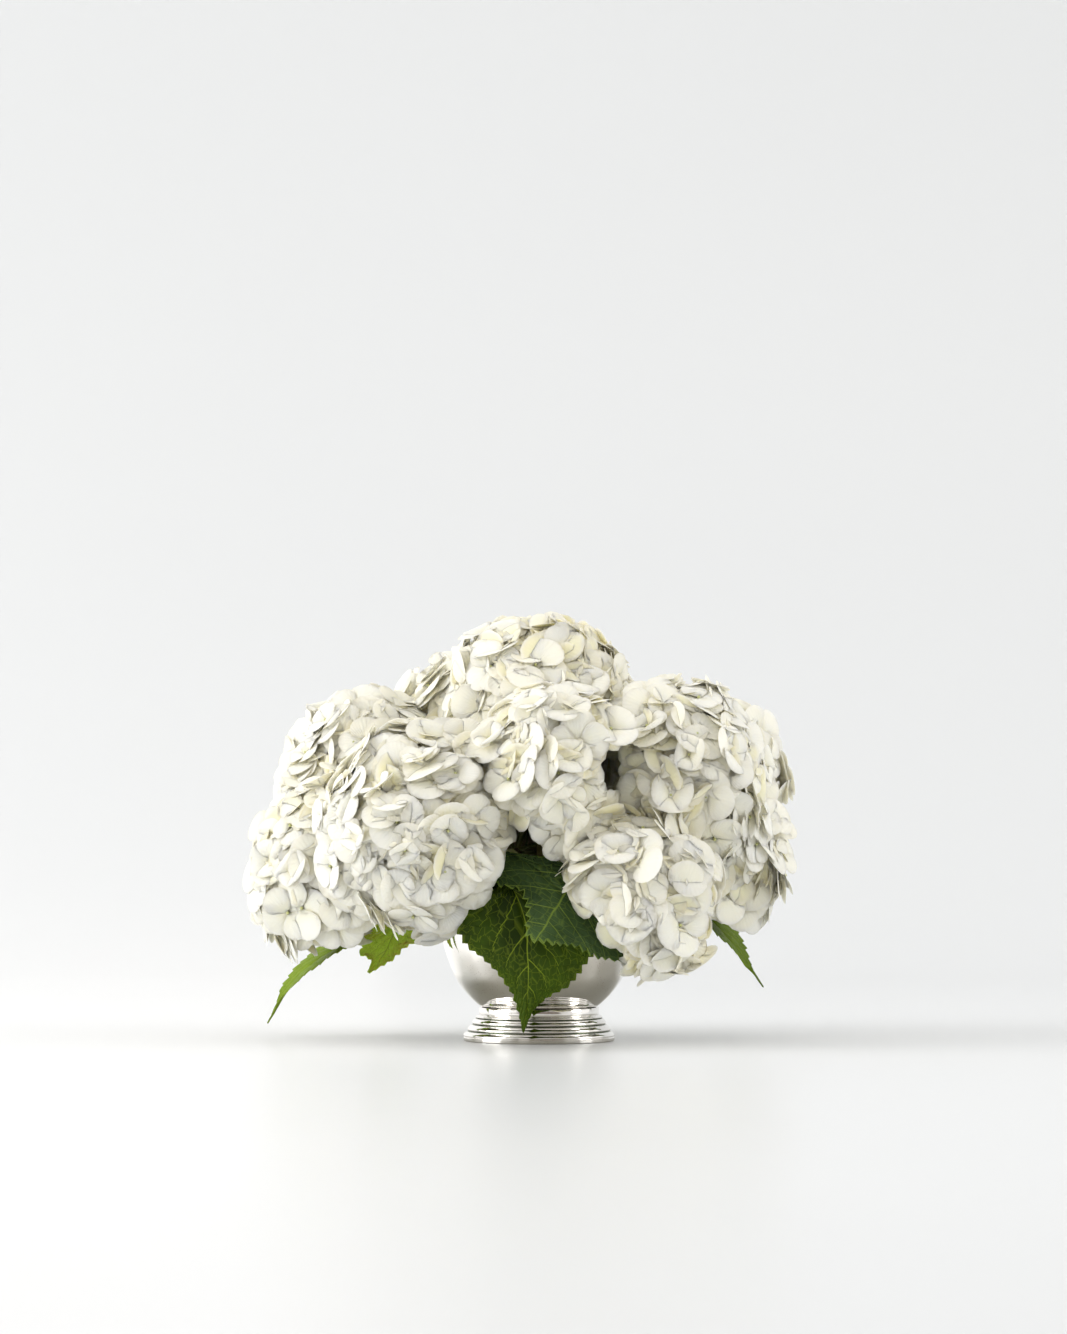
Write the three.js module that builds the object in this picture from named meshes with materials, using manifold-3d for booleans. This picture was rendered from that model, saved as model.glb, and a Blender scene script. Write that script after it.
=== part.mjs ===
// Mophead hydrangeas massed in a low footed silver bowl.
// Units are millimetres and +Z is up. The origin is the middle of the foot's flat underside.
// The front of the arrangement faces -Y, and +X is its right-hand side.

import * as THREE from "three";
import { mergeVertices } from "three/addons/utils/BufferGeometryUtils.js";
import Module from "manifold-3d";

const wasm = await Module();
wasm.setup();

// Driving dimensions of the bowl and foot
const FOOT_RADIUS = 52.9;
const FOOT_HEIGHT = 23.6;
const NECK_RADIUS = 42;
const NECK_LIP = 2.2;
const BOWL_UNDERSIDE = 18;
const RIM_HEIGHT = 97;
const RIM_RADIUS = 78;
const WALL = 1.4;
const TURNED_SIDES = 32;
const FOAM_SIDES = 16;
const FOAM_FLOOR = 34;
const FOAM_SHOULDER_RADIUS = 66;
const FOAM_SHOULDER_HEIGHT = 108;
const FOAM_TOP_RADIUS = 48;
const FOAM_TOP = 117;

// Gaps that pieces keep where they touch: bowl on foot, rods in their holes, petals round a leaf
const SEAT_GAP = 0.3;
const HOLE_PLAY = 0.36;
const LEAF_ROOM = 0.4;

// Driving dimensions of the plant pieces
const STEM_RADIUS = 2.8;
const STEM_SIDES = 6;
const STEM_STEPS = 4;
const STEM_IN_CORE = 12;
const CORE_SHARE = 0.72;
const FLORET_SPACING = 42;
const FLORET_RADIUS = 22.4;
const FLORET_REACH = THREE.MathUtils.degToRad(122);
const LEAF_THICKNESS = 0.8;
const PETIOLE_RADIUS = 1.3;
const PETIOLE_SIDES = 5;

// Heads by name: centre and radius. The last three close the dome at the back.
const HEADS = {
  top: [2, 14, 237, 66],
  left_back: [-114, 52, 178, 69],
  left_front: [-77, -58, 148, 75],
  left_low: [-136, 6, 121, 69],
  right: [90, -30, 182, 70],
  right_low: [68, -84, 102, 58],
  right_far: [122, 14, 125, 54],
  front: [13, -74, 190, 60],
  back: [-18, 104, 132, 68],
  back_left: [-44, 70, 214, 60],
  back_right: [104, 68, 177, 70],
};

// Leaves by name. Each has its petiole's foot in the foam, a point that the petiole arches over, and
// the blade's midrib from base to tip. It faces the way of face, half is its greatest half-width to
// the left and right, and its edges fall back by arch. The last three hang at the back.
const LEAVES = {
  front: {
    foot: [-10, -52, 96], over: [-14, -70, 116],
    rib: [[-20, -80.5, 111], [-10, -87, 84], [-7, -86, 52], [-11, -80, 9.7]],
    face: [0.1, -1, 0.12], half: [45, 45], arch: 8,
  },
  front_upper: {
    foot: [2, -38, 104], over: [-16, -52, 140],
    rib: [[-22, -70, 134], [14, -91, 108], [42, -80, 83], [62, -66, 55]],
    face: [0.25, -1, 0.5], half: [38, 24], arch: 2,
  },
  left_pale: {
    foot: [-46, 22, 94], over: [-66, 26, 114],
    rib: [[-80, 25, 98], [-100, 28, 76], [-120, 29, 46]],
    face: [-0.1, -1, 0.1], half: [26, 24], arch: 4,
  },
  left_edge: {
    foot: [-44, 40, 94], over: [-78, 52, 112],
    rib: [[-118, 52, 74], [-150, 51, 58], [-174, 50, 38], [-192, 48, 9.5]],
    face: [-0.6, -0.22, 0.8], half: [24, 24], arch: 5,
  },
  right_edge: {
    foot: [48, 36, 94], over: [74, 48, 114],
    rib: [[106, 50, 100], [124, 51, 80], [140, 50, 61], [159, 48, 35]],
    face: [0.62, -0.3, 0.72], half: [23, 23], arch: 5,
  },
  back_left: {
    foot: [-24, 40, 96], over: [-34, 56, 116],
    rib: [[-40, 70, 104], [-43, 80, 82], [-40, 82, 56], [-34, 84, 28]],
    face: [-0.3, 1, 0.1], half: [20, 20], arch: 3,
  },
  back: {
    foot: [6, 50, 96], over: [5, 68, 116],
    rib: [[4, 80.5, 106], [5, 86, 80], [5, 85, 52], [8, 80, 12]],
    face: [0, 1, 0.1], half: [24, 24], arch: 4,
  },
  back_right: {
    foot: [28, 42, 96], over: [38, 56, 116],
    rib: [[44, 69, 104], [47, 79, 82], [48, 81, 56], [46, 82, 30]],
    face: [0.3, 1, 0.1], half: [20, 20], arch: 3,
  },
};

const SILVER = { color: 0xd9dad8, roughness: 0.12, metalness: 1 };
const FOAM = { color: 0x4f6b45, roughness: 0.95, metalness: 0 };
const STEM = { color: 0x7d8f4a, roughness: 0.6, metalness: 0 };
const PETAL = { color: 0xf1efe6, roughness: 0.7, metalness: 0 };
const LEAF = { color: 0x3f6b28, roughness: 0.45, metalness: 0 };

const UP = new THREE.Vector3(0, 0, 1);
const vec = (x, y, z) => new THREE.Vector3(x, y, z);

// A repeatable draw from 0 to 1 for each seed
function seededDraw(seed) {
  let state = seed >>> 0;
  return () => {
    state = (state + 0x6d2b79f5) >>> 0;
    let t = Math.imul(state ^ (state >>> 15), 1 | state);
    t = (t + Math.imul(t ^ (t >>> 7), 61 | t)) ^ t;
    return ((t ^ (t >>> 14)) >>> 0) / 4294967296;
  };
}

function solidFrom(points, triangles) {
  const mesh = new wasm.Mesh({
    numProp: 3,
    vertProperties: new Float32Array(points.flatMap((p) => [p.x, p.y, p.z])),
    triVerts: new Uint32Array(triangles.flat()),
  });
  return new wasm.Manifold(mesh);
}

// A solid from a closed geometry; triangles that closed up to a line are dropped
function solidOf(geometry) {
  geometry.deleteAttribute("normal");
  geometry.deleteAttribute("uv");
  const merged = mergeVertices(geometry, 1e-4);
  const place = merged.getAttribute("position");
  const index = merged.getIndex().array;
  const points = [];
  for (let i = 0; i < place.count; i++) points.push(new THREE.Vector3().fromBufferAttribute(place, i));
  const triangles = [];
  for (let i = 0; i < index.length; i += 3) {
    const [a, b, c] = index.slice(i, i + 3);
    if (a !== b && b !== c && c !== a) triangles.push([a, b, c]);
  }
  return solidFrom(points, triangles);
}

// The largest body of a solid, so that no loose scrap of a cut stays
function largestBody(solid) {
  const bodies = solid.decompose();
  return bodies.reduce((best, body) => (body.volume() > best.volume() ? body : best));
}

function meshOf(name, solid, look) {
  const { vertProperties, triVerts } = solid.getMesh();
  const geometry = new THREE.BufferGeometry();
  geometry.setAttribute("position", new THREE.BufferAttribute(vertProperties.slice(), 3));
  geometry.setIndex(new THREE.BufferAttribute(triVerts.slice(), 1));
  const mesh = new THREE.Mesh(geometry, new THREE.MeshStandardMaterial(look));
  mesh.name = name;
  return mesh;
}

// A turned solid: the profile is given as [radius, height] from axis to axis, bottom first
function turned(profile, sides) {
  const outline = profile.map(([radius, height]) => new THREE.Vector2(radius, height));
  const geometry = new THREE.LatheGeometry(outline, sides);
  geometry.rotateX(Math.PI / 2);
  return solidOf(geometry);
}

// A rod of regular section along a gentle arc through three points, lengthened at both ends by extra
function rod([from, over, to], radius, sides, steps, extra = 0) {
  const start = from.clone().addScaledVector(from.clone().sub(over).normalize(), extra);
  const end = to.clone().addScaledVector(to.clone().sub(over).normalize(), extra);
  const path = new THREE.QuadraticBezierCurve3(start, over, end);
  const corners = [];
  for (let i = 0; i < sides; i++) {
    const angle = (i / sides) * 2 * Math.PI;
    corners.push(new THREE.Vector2(radius * Math.cos(angle), radius * Math.sin(angle)));
  }
  const section = new THREE.Shape(corners);
  return solidOf(new THREE.ExtrudeGeometry(section, { steps, bevelEnabled: false, extrudePath: path }));
}

// Foot: base band, shoulder, three reeds between grooves, and a neck whose top is dished for the bowl
const REED_GROOVES = [[50, 6.6], [46.8, 11.4], [44.4, 16.3]];
const REED_SWELL = 1.3;

function footProfile() {
  const profile = [[0, 0], [FOOT_RADIUS, 0], [FOOT_RADIUS, 2.8], [FOOT_RADIUS - 1.4, 5]];
  REED_GROOVES.forEach(([radius, height], i) => {
    const [nextRadius, nextHeight] = REED_GROOVES[i + 1] ?? [NECK_RADIUS, 19.6];
    profile.push([radius, height]);
    profile.push([radius + REED_SWELL * 0.8, height + (nextHeight - height) * 0.35]);
    profile.push([nextRadius + REED_SWELL * 1.1, height + (nextHeight - height) * 0.75]);
  });
  profile.push([NECK_RADIUS, 19.6], [NECK_RADIUS, FOOT_HEIGHT]);
  return profile;
}

// Bowl: outer wall by radius and height, from the middle of the rounded bottom to the rim
const BOWL_OUTER = [
  [0, BOWL_UNDERSIDE], [24, 18.9], [41.6, 24.6], [50.3, 32.6], [57.2, 41.6], [61.2, 50.5],
  [66, 64], [68.8, 77.3], [72.5, 89], [RIM_RADIUS, RIM_HEIGHT],
];

// The same line moved sideways from itself, towards the inside for a positive distance
function offsetLine(line, distance) {
  return line.map(([radius, height], i) => {
    const [r0, z0] = line[Math.max(i - 1, 0)];
    const [r1, z1] = line[Math.min(i + 1, line.length - 1)];
    const run = Math.hypot(r1 - r0, z1 - z0);
    if (radius === 0) return [0, height + distance];
    return [radius - ((z1 - z0) / run) * distance, height + ((r1 - r0) / run) * distance];
  });
}

function buildFoot() {
  const lip = [NECK_RADIUS - NECK_LIP, FOOT_HEIGHT];
  const dish = offsetLine(BOWL_OUTER, -SEAT_GAP).filter(([radius]) => radius < lip[0]);
  return turned([...footProfile(), lip, ...dish.reverse()], TURNED_SIDES);
}

// The wall's inside has fewer bends than its outside, so it is thickest at the belly
const INNER_BENDS = [0, 1, 3, 5, 7, 8, 9];
const innerLine = (depth) => offsetLine(INNER_BENDS.map((i) => BOWL_OUTER[i]), depth);

function buildBowl() {
  return turned([...BOWL_OUTER, ...innerLine(WALL).reverse()], TURNED_SIDES);
}

// Foam: fills the bowl to its rim and mounds above it. Its corners stay inside the flats of the wall.
const FLAT_SHARE = Math.cos(Math.PI / TURNED_SIDES);

function foamProfile() {
  const inside = innerLine(WALL + SEAT_GAP).filter(([, height]) => height > FOAM_FLOOR);
  const side = inside.map(([radius, height]) => [radius * FLAT_SHARE, height]);
  const [[floorRadius]] = side;
  return [
    [0, FOAM_FLOOR], [floorRadius - 10, FOAM_FLOOR], ...side,
    [FOAM_SHOULDER_RADIUS, FOAM_SHOULDER_HEIGHT], [FOAM_TOP_RADIUS, FOAM_TOP], [0, FOAM_TOP],
  ];
}

// Heads as objects, with the stem's route: from a hole in the foam, over the rim, into the core.
// A low head's stem leaves the foam near its shoulder, and arches more to clear the rim.
const HIGH_STEM = { hole: 18, floor: 72, arch: 10 };
const LOW_STEM = { hole: 34, floor: 88, arch: 16 };
const LOW_HEAD = 160;
const WIDE_HEAD = 100;

const heads = Object.entries(HEADS).map(([name, [x, y, z, radius]], i) => {
  const centre = vec(x, y, z);
  const sideways = vec(x, y, 0);
  const low = z < LOW_HEAD;
  const { hole, floor, arch } = low ? LOW_STEM : HIGH_STEM;
  const spread = low ? 1 : Math.min(sideways.length() / WIDE_HEAD, 1);
  const foot = sideways.clone().setLength(hole * spread).setZ(floor);
  const over = foot.clone().lerp(centre, 0.5).add(vec(0, 0, arch));
  const tip = centre.clone().add(over.clone().sub(centre).setLength(STEM_IN_CORE));
  const axis = centre.clone().sub(over).normalize();
  const route = [foot, over, tip];
  return {
    name, centre, radius, axis,
    seed: 101 + 37 * i,
    stem: rod(route, STEM_RADIUS, STEM_SIDES, STEM_STEPS),
    hole: rod(route, STEM_RADIUS + HOLE_PLAY, STEM_SIDES, STEM_STEPS, HOLE_PLAY),
  };
});

// The holder and foam as a rounded outline by radius and height, which heads stay outside of
const HOLDER_OUTLINE = [
  [FOOT_RADIUS, 0], [RIM_RADIUS, RIM_HEIGHT], [FOAM_SHOULDER_RADIUS + 3, FOAM_SHOULDER_HEIGHT],
  [FOAM_TOP_RADIUS, FOAM_TOP], [0, FOAM_TOP],
];
const HOLDER_CLEARANCE = 7;

function nearestOnHolder(point) {
  const across = Math.hypot(point.x, point.y);
  let best = null;
  for (let i = 1; i < HOLDER_OUTLINE.length; i++) {
    const a = new THREE.Vector2(...HOLDER_OUTLINE[i - 1]);
    const along = new THREE.Vector2(...HOLDER_OUTLINE[i]).sub(a);
    const t = THREE.MathUtils.clamp(
      new THREE.Vector2(across, point.z).sub(a).dot(along) / along.lengthSq(), 0, 1);
    const near = a.addScaledVector(along, t);
    const gap = Math.hypot(across - near.x, point.z - near.y);
    if (!best || gap < best.gap) best = { gap, near };
  }
  const { near } = best;
  return vec((point.x / across) * near.x, (point.y / across) * near.x, near.y);
}

// Each head keeps to its own cell: flat borders with its neighbours, and one that goes round the holder.
// A border is a normal and a distance, and the head lies where normal . p < distance.
const BORDER_GAP = 0.25;
const BORDER_REACH = 12;

function neighbourBorders(head) {
  const borders = [];
  for (const other of heads) {
    if (other === head) continue;
    const normal = other.centre.clone().sub(head.centre);
    const apart = normal.length();
    if (apart > head.radius + other.radius + BORDER_REACH) continue;
    normal.normalize();
    const share = (apart ** 2 + head.radius ** 2 - other.radius ** 2) / (2 * apart);
    borders.push({ normal, distance: normal.dot(head.centre) + share - BORDER_GAP });
  }
  return borders;
}

// The border with the holder at the side where point is. It leans like the line from the head to the
// holder, but steeper, so that the lowest petals hang down in front of the rim.
const HOLDER_LEAN = 0.25;

function holderBorder(head, point) {
  const line = nearestOnHolder(head.centre).sub(head.centre);
  const lean = new THREE.Vector2(Math.hypot(line.x, line.y), line.z * HOLDER_LEAN).normalize();
  const normal = vec(-point.x, -point.y, 0).setLength(lean.x).setZ(lean.y);
  const reaches = HOLDER_OUTLINE.map(([radius, height]) => lean.y * height - lean.x * radius);
  return { normal, distance: Math.min(...reaches) - HOLDER_CLEARANCE };
}

const overBorder = (point, { normal, distance }) => normal.dot(point) - distance;

// A petal point over a border is bent back onto it
function bendClear(point, borders) {
  const bent = point.clone();
  for (let round = 0; round < 4; round++) {
    for (const border of borders) {
      const over = overBorder(bent, border);
      if (over > 0) bent.addScaledVector(border.normal, -over);
    }
  }
  return bent;
}

// Core: a ball of the head's packed stalks, drawn in where a border is near
const CORE_INSET = 1.5;

function buildCore(head, borders) {
  const ball = new THREE.IcosahedronGeometry(head.radius * CORE_SHARE, 1);
  const place = ball.getAttribute("position");
  const point = new THREE.Vector3();
  for (let i = 0; i < place.count; i++) {
    point.fromBufferAttribute(place, i);
    let share = 1;
    for (const border of borders) {
      const room = -overBorder(head.centre, border) - CORE_INSET;
      const reach = border.normal.dot(point);
      if (reach > room) share = Math.min(share, room / reach);
    }
    point.multiplyScalar(share).add(head.centre);
    place.setXYZ(i, point.x, point.y, point.z);
  }
  return solidOf(ball);
}

// Floret: four broad petals round a sunken eye. Each petal is a fan between two notches, and the
// underside draws in to a stalk that is sunk in the core. An outline point is an angle from the
// petal's middle, a reach and a rise as shares of the floret's radius.
const PETALS = 4;
const NOTCH = [-45, 0.56, -0.1];
const PETAL_EDGE = [[-24, 0.98, 0.02], [24, 0.98, 0.02]];
const EYE_DEPTH = 0.16;
const STALK_SIDES = 3;
const STALK_SHARE = 0.15;
const STALK_DEPTH = 0.3;

function buildFloret(eye, outward, size, spin, draw, borders, root) {
  const across = new THREE.Vector3().crossVectors(outward, Math.abs(outward.z) < 0.9 ? UP : vec(1, 0, 0));
  across.normalize();
  const along = new THREE.Vector3().crossVectors(outward, across);
  const at = (degrees, reach, rise) => {
    const angle = spin + THREE.MathUtils.degToRad(degrees);
    const side = across.clone().multiplyScalar(Math.cos(angle)).addScaledVector(along, Math.sin(angle));
    return eye.clone().addScaledVector(side, reach * size).addScaledVector(outward, rise * size);
  };
  const outline = [];
  for (let petal = 0; petal < PETALS; petal++) {
    const turn = petal * (360 / PETALS);
    const length = 0.9 + 0.2 * draw();
    const lift = 0.22 * draw() - 0.13;
    outline.push(at(turn + NOTCH[0], NOTCH[1], NOTCH[2]));
    for (const [degrees, reach, rise] of PETAL_EDGE) {
      outline.push(at(turn + degrees, reach * length, rise + lift));
    }
  }
  const count = outline.length;
  const stalk = [];
  for (let side = 0; side < STALK_SIDES; side++) {
    stalk.push(at((side + 0.5) * (360 / STALK_SIDES) - 45, STALK_SHARE, -STALK_DEPTH));
  }
  const top = eye.clone().addScaledVector(outward, -EYE_DEPTH * size);
  const points = [...outline, ...stalk, top, root].map((point) => bendClear(point, borders));
  const topIndex = count + STALK_SIDES;
  const rootIndex = topIndex + 1;
  const perSide = count / STALK_SIDES;
  const triangles = [];
  for (let i = 0; i < count; i++) {
    const next = (i + 1) % count;
    const side = Math.floor(i / perSide);
    triangles.push([topIndex, i, next], [count + side, next, i]);
    if (next % perSide === 0) triangles.push([count + side, count + (side + 1) % STALK_SIDES, next]);
  }
  for (let side = 0; side < STALK_SIDES; side++) {
    triangles.push([count + side, rootIndex, count + ((side + 1) % STALK_SIDES)]);
  }
  return solidFrom(points, triangles);
}

// Leaf: an arched blade with a toothed edge and a drawn-out tip, on a petiole that stands in the foam.
// Both faces are split alike, and spread grows the leaf evenly for the room that it needs.
const LEAF_TEETH = 5;
const TOOTH_SHARE = 0.87;
const BLADE_OUTLINE_POWER = 0.72;
const BASE_HALF = 3;

const bladeShare = (t) => Math.sin(Math.PI * t ** BLADE_OUTLINE_POWER) ** 0.85;

function buildBlade({ rib, face, half, arch }, spread) {
  const midrib = new THREE.CatmullRomCurve3(rib.map((p) => vec(...p)));
  const front = vec(...face).normalize();
  const stations = 2 * LEAF_TEETH + 1;
  const points = [];
  const addBothFaces = (point, normal) => {
    points.push(point.clone().addScaledVector(normal, LEAF_THICKNESS / 2 + spread));
    points.push(point.clone().addScaledVector(normal, -LEAF_THICKNESS / 2 - spread));
  };
  for (let i = 0; i < stations; i++) {
    const t = i / stations;
    const middle = midrib.getPoint(t);
    const tangent = midrib.getTangent(t);
    const across = new THREE.Vector3().crossVectors(front, tangent).normalize();
    const normal = new THREE.Vector3().crossVectors(tangent, across).normalize();
    const tooth = i % 2 ? 1 : TOOTH_SHARE;
    const share = Math.max(bladeShare(t), BASE_HALF / half[0]) * tooth;
    addBothFaces(middle.clone().addScaledVector(across, -half[0] * share - spread)
      .addScaledVector(normal, -arch * share * share), normal);
    addBothFaces(middle, normal);
    addBothFaces(middle.clone().addScaledVector(across, half[1] * share + spread)
      .addScaledVector(normal, -arch * share * share), normal);
  }
  const tangent = midrib.getTangent(1);
  addBothFaces(midrib.getPoint(1).addScaledVector(tangent, spread),
    new THREE.Vector3().crossVectors(tangent, new THREE.Vector3().crossVectors(front, tangent)).normalize());
  const tip = points.length - 2;
  const triangles = [];
  // A patch on the upper face, and its twin on the lower face
  const patch = (a, b, c) => triangles.push([a, b, c], [a + 1, c + 1, b + 1]);
  const edge = (a, b) => triangles.push([a, b + 1, b], [a, a + 1, b + 1]);
  for (let i = 0; i < stations - 1; i++) {
    const [left, middle, right] = [6 * i, 6 * i + 2, 6 * i + 4];
    patch(left, left + 6, middle);
    patch(middle, left + 6, middle + 6);
    patch(middle, middle + 6, right + 6);
    patch(middle, right + 6, right);
    edge(left, left + 6);
    edge(right + 6, right);
  }
  const [left, middle, right] = [tip - 6, tip - 4, tip - 2];
  patch(left, tip, middle);
  patch(middle, tip, right);
  edge(left, tip);
  edge(tip, right);
  edge(2, 0);
  edge(4, 2);
  return solidFrom(points, triangles);
}

const PETIOLE_STEPS = 4;
const petioleRoute = ({ foot, over, rib }) => [vec(...foot), vec(...over), vec(...rib[0])];

function buildLeaf(leaf, spread = 0) {
  const route = petioleRoute(leaf);
  const petiole = rod(route, PETIOLE_RADIUS + spread, PETIOLE_SIDES, PETIOLE_STEPS, spread);
  return buildBlade(leaf, spread).add(petiole);
}

// Head: florets on a spiral of even spacing over the core, from the crown down to the skirt, in two
// layers by turns. Those whose eye is past a border or that a leaf or stem crosses are left out, and
// eyes near a border draw back from it.
const GOLDEN_ANGLE = Math.PI * (3 - Math.sqrt(5));
const LAYER_DEPTHS = [0.85, 0.93];
const LAYER_SCATTER = 0.03;
const SIZE_RANGE = [0.92, 1.08];
const TILT = 0.5;
const EYE_PAST = 3;
const EYE_ROOM = 7;
const ROOT_SHARE = 0.45;

const crosses = (one, other) => one.intersect(other).volume() > 1e-3;

function buildHead(head, obstacles) {
  const draw = seededDraw(head.seed);
  const neighbours = neighbourBorders(head);
  const cell = (Math.sqrt(3) / 2) * FLORET_SPACING ** 2;
  const count = Math.round((4 * Math.PI * head.radius ** 2) / cell);
  const across = new THREE.Vector3().crossVectors(head.axis, vec(0.3, 1, 0.2)).normalize();
  const along = new THREE.Vector3().crossVectors(head.axis, across);
  const ball = buildCore(head, [...neighbours, holderBorder(head, head.centre)]);
  const inTheWay = obstacles.filter((obstacle) => crosses(ball, obstacle));
  const parts = [inTheWay.reduce((left, obstacle) => left.subtract(obstacle), ball)];
  const turn = draw() * 2 * Math.PI;
  for (let i = 0; i < count; i++) {
    const down = Math.acos(1 - (2 * (i + 0.5)) / count);
    if (down > FLORET_REACH) break;
    const angle = turn + i * GOLDEN_ANGLE;
    const outward = head.axis.clone().multiplyScalar(Math.cos(down))
      .addScaledVector(across, Math.sin(down) * Math.cos(angle))
      .addScaledVector(along, Math.sin(down) * Math.sin(angle));
    const depth = head.radius * (LAYER_DEPTHS[i % 2] + LAYER_SCATTER * draw());
    const size = FLORET_RADIUS * THREE.MathUtils.lerp(...SIZE_RANGE, draw());
    const spin = draw() * 2 * Math.PI;
    const tilt = vec(draw() - 0.5, draw() - 0.5, draw() - 0.5).multiplyScalar(TILT);
    const eye = head.centre.clone().addScaledVector(outward, depth);
    const borders = [...neighbours, holderBorder(head, eye)];
    if (borders.some((border) => overBorder(eye, border) > -EYE_PAST)) continue;
    for (const border of borders) {
      const room = -overBorder(eye, border);
      if (room < EYE_ROOM) eye.addScaledVector(border.normal, room - EYE_ROOM);
    }
    const root = head.centre.clone().addScaledVector(outward, head.radius * ROOT_SHARE);
    const facing = outward.clone().add(tilt).normalize();
    const floret = buildFloret(eye, facing, size, spin, draw, borders, root);
    if (!obstacles.some((obstacle) => crosses(floret, obstacle))) parts.push(floret);
  }
  return largestBody(wasm.Manifold.union(parts).subtract(head.hole));
}

// The arrangement: holder and foam first, then stems and leaves, then the heads round them
const leaves = Object.entries(LEAVES);
const leafRooms = leaves.map(([, leaf]) => buildLeaf(leaf, LEAF_ROOM));
const petioleHoles = leaves.map(([, leaf]) =>
  rod(petioleRoute(leaf), PETIOLE_RADIUS + HOLE_PLAY, PETIOLE_SIDES, PETIOLE_STEPS, HOLE_PLAY));
const stemHoles = heads.map((head) => head.hole);
const foam = turned(foamProfile(), FOAM_SIDES)
  .subtract(wasm.Manifold.union([...stemHoles, ...petioleHoles]));

const arrangement = new THREE.Group();
arrangement.add(meshOf("foot", buildFoot(), SILVER));
arrangement.add(meshOf("bowl", buildBowl(), SILVER));
arrangement.add(meshOf("floral_foam", largestBody(foam), FOAM));
for (const head of heads) {
  arrangement.add(meshOf(`stem_${head.name}`, head.stem, STEM));
}
for (const [name, leaf] of leaves) {
  arrangement.add(meshOf(`leaf_${name}`, buildLeaf(leaf), LEAF));
}
for (const head of heads) {
  const otherStems = stemHoles.filter((hole) => hole !== head.hole);
  arrangement.add(meshOf(`bloom_${head.name}`, buildHead(head, [...leafRooms, ...otherStems]), PETAL));
}

export default arrangement;
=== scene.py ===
# %% [markdown]
# # Mophead hydrangeas in a low footed silver bowl
# Eleven heads of ivory hydrangea are massed in a dome over a small polished bowl. Their woody
# stems fan out from a block of wet flower foam, and a few of their own leaves hang over the rim.
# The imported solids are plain, with few faces, so each of them is stood for by a finer piece made
# here, in metres and in the same frame: +Z is up and the front faces -Y.

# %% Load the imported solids
import math

import bpy
import numpy as np
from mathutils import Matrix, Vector, noise


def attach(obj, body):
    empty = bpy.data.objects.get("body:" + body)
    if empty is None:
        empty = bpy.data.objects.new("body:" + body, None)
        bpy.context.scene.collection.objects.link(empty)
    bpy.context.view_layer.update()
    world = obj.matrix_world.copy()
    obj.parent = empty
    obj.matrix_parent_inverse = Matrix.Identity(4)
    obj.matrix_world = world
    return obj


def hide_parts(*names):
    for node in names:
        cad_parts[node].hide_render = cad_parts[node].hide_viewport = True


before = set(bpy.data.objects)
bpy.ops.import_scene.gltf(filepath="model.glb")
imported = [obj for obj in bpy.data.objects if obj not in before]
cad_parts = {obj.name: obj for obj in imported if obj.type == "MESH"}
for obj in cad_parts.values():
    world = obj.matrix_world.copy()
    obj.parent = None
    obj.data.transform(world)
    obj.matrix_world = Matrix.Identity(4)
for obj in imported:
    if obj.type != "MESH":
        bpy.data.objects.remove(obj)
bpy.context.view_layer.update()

# %% [markdown]
# ## Camera
# The bowl is seen from almost level with its surroundings and from far away, so its rings look
# nearly straight. A long lens at 4.8 m gives that flat view. The camera comes first, because it
# sets the scale at which every petal will be seen.

# %% Camera
MM = 0.001
CAMERA_PLACE = (-0.00385, -4.8, 0.2614)
LENS, SENSOR_WIDTH, FARTHEST_SEEN = 185.05, 36, 30
camera = bpy.data.objects.new("camera", bpy.data.cameras.new("camera"))
bpy.context.scene.collection.objects.link(camera)
camera.location = CAMERA_PLACE
camera.rotation_euler = (math.radians(90), 0, 0)
camera.data.lens = LENS
camera.data.sensor_width = SENSOR_WIDTH
camera.data.clip_end = FARTHEST_SEEN
bpy.context.scene.camera = camera
print("camera", tuple(round(c, 3) for c in camera.location), camera.data.lens, "mm")

# %% [markdown]
# ## Two helpers for node trees
# Materials and Geometry Nodes trees are both made of nodes and wires. `add` places one node and
# fills its sockets: a socket given as a value is set, and one given as another node's output is
# wired. That keeps each recipe below down to one line a node.

# %% Node helpers
def fill(tree, node, sockets):
    for key, value in sockets.items():
        if isinstance(value, bpy.types.NodeSocket):
            tree.links.new(value, node.inputs[key])
        else:
            node.inputs[key].default_value = value


def add(tree, kind, sockets=None, out=0, **settings):
    node = tree.nodes.new(kind)
    for key, value in settings.items():
        setattr(node, key, value)
    fill(tree, node, sockets or {})
    return node.outputs[out]


def maths(tree, operation, *values, clamp=False):
    return add(tree, "ShaderNodeMath", dict(enumerate(values)), operation=operation, use_clamp=clamp)


def blend_colour(tree, share, first, second):
    return add(tree, "ShaderNodeMix", {0: share, 6: first, 7: second}, out=2, data_type="RGBA")


def finish_material(name, recipe):
    made = bpy.data.materials.new(name)
    made.use_nodes = True
    tree = made.node_tree
    fill(tree, tree.nodes["Principled BSDF"], recipe(tree))
    return made


print("helpers ready")

# %% [markdown]
# ## Effects that several finishes share
# Nothing that grew or was polished by hand is one even colour. `patches` gives slow drifts from
# place to place, and `veins` draws a leaf's midrib, its side veins that sweep towards the tip,
# and the fine net between them. Both are shader groups, so each finish sets its own sizes.

# %% Shader group: patches
def new_group(name, inputs, outputs):
    tree = bpy.data.node_groups.new(name, "ShaderNodeTree")
    for label, (kind, value) in inputs.items():
        socket = tree.interface.new_socket(label, in_out="INPUT", socket_type=kind)
        if value is not None:
            socket.default_value = value
    for label, kind in outputs.items():
        tree.interface.new_socket(label, in_out="OUTPUT", socket_type=kind)
    return tree, tree.nodes.new("NodeGroupInput").outputs, tree.nodes.new("NodeGroupOutput").inputs


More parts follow.
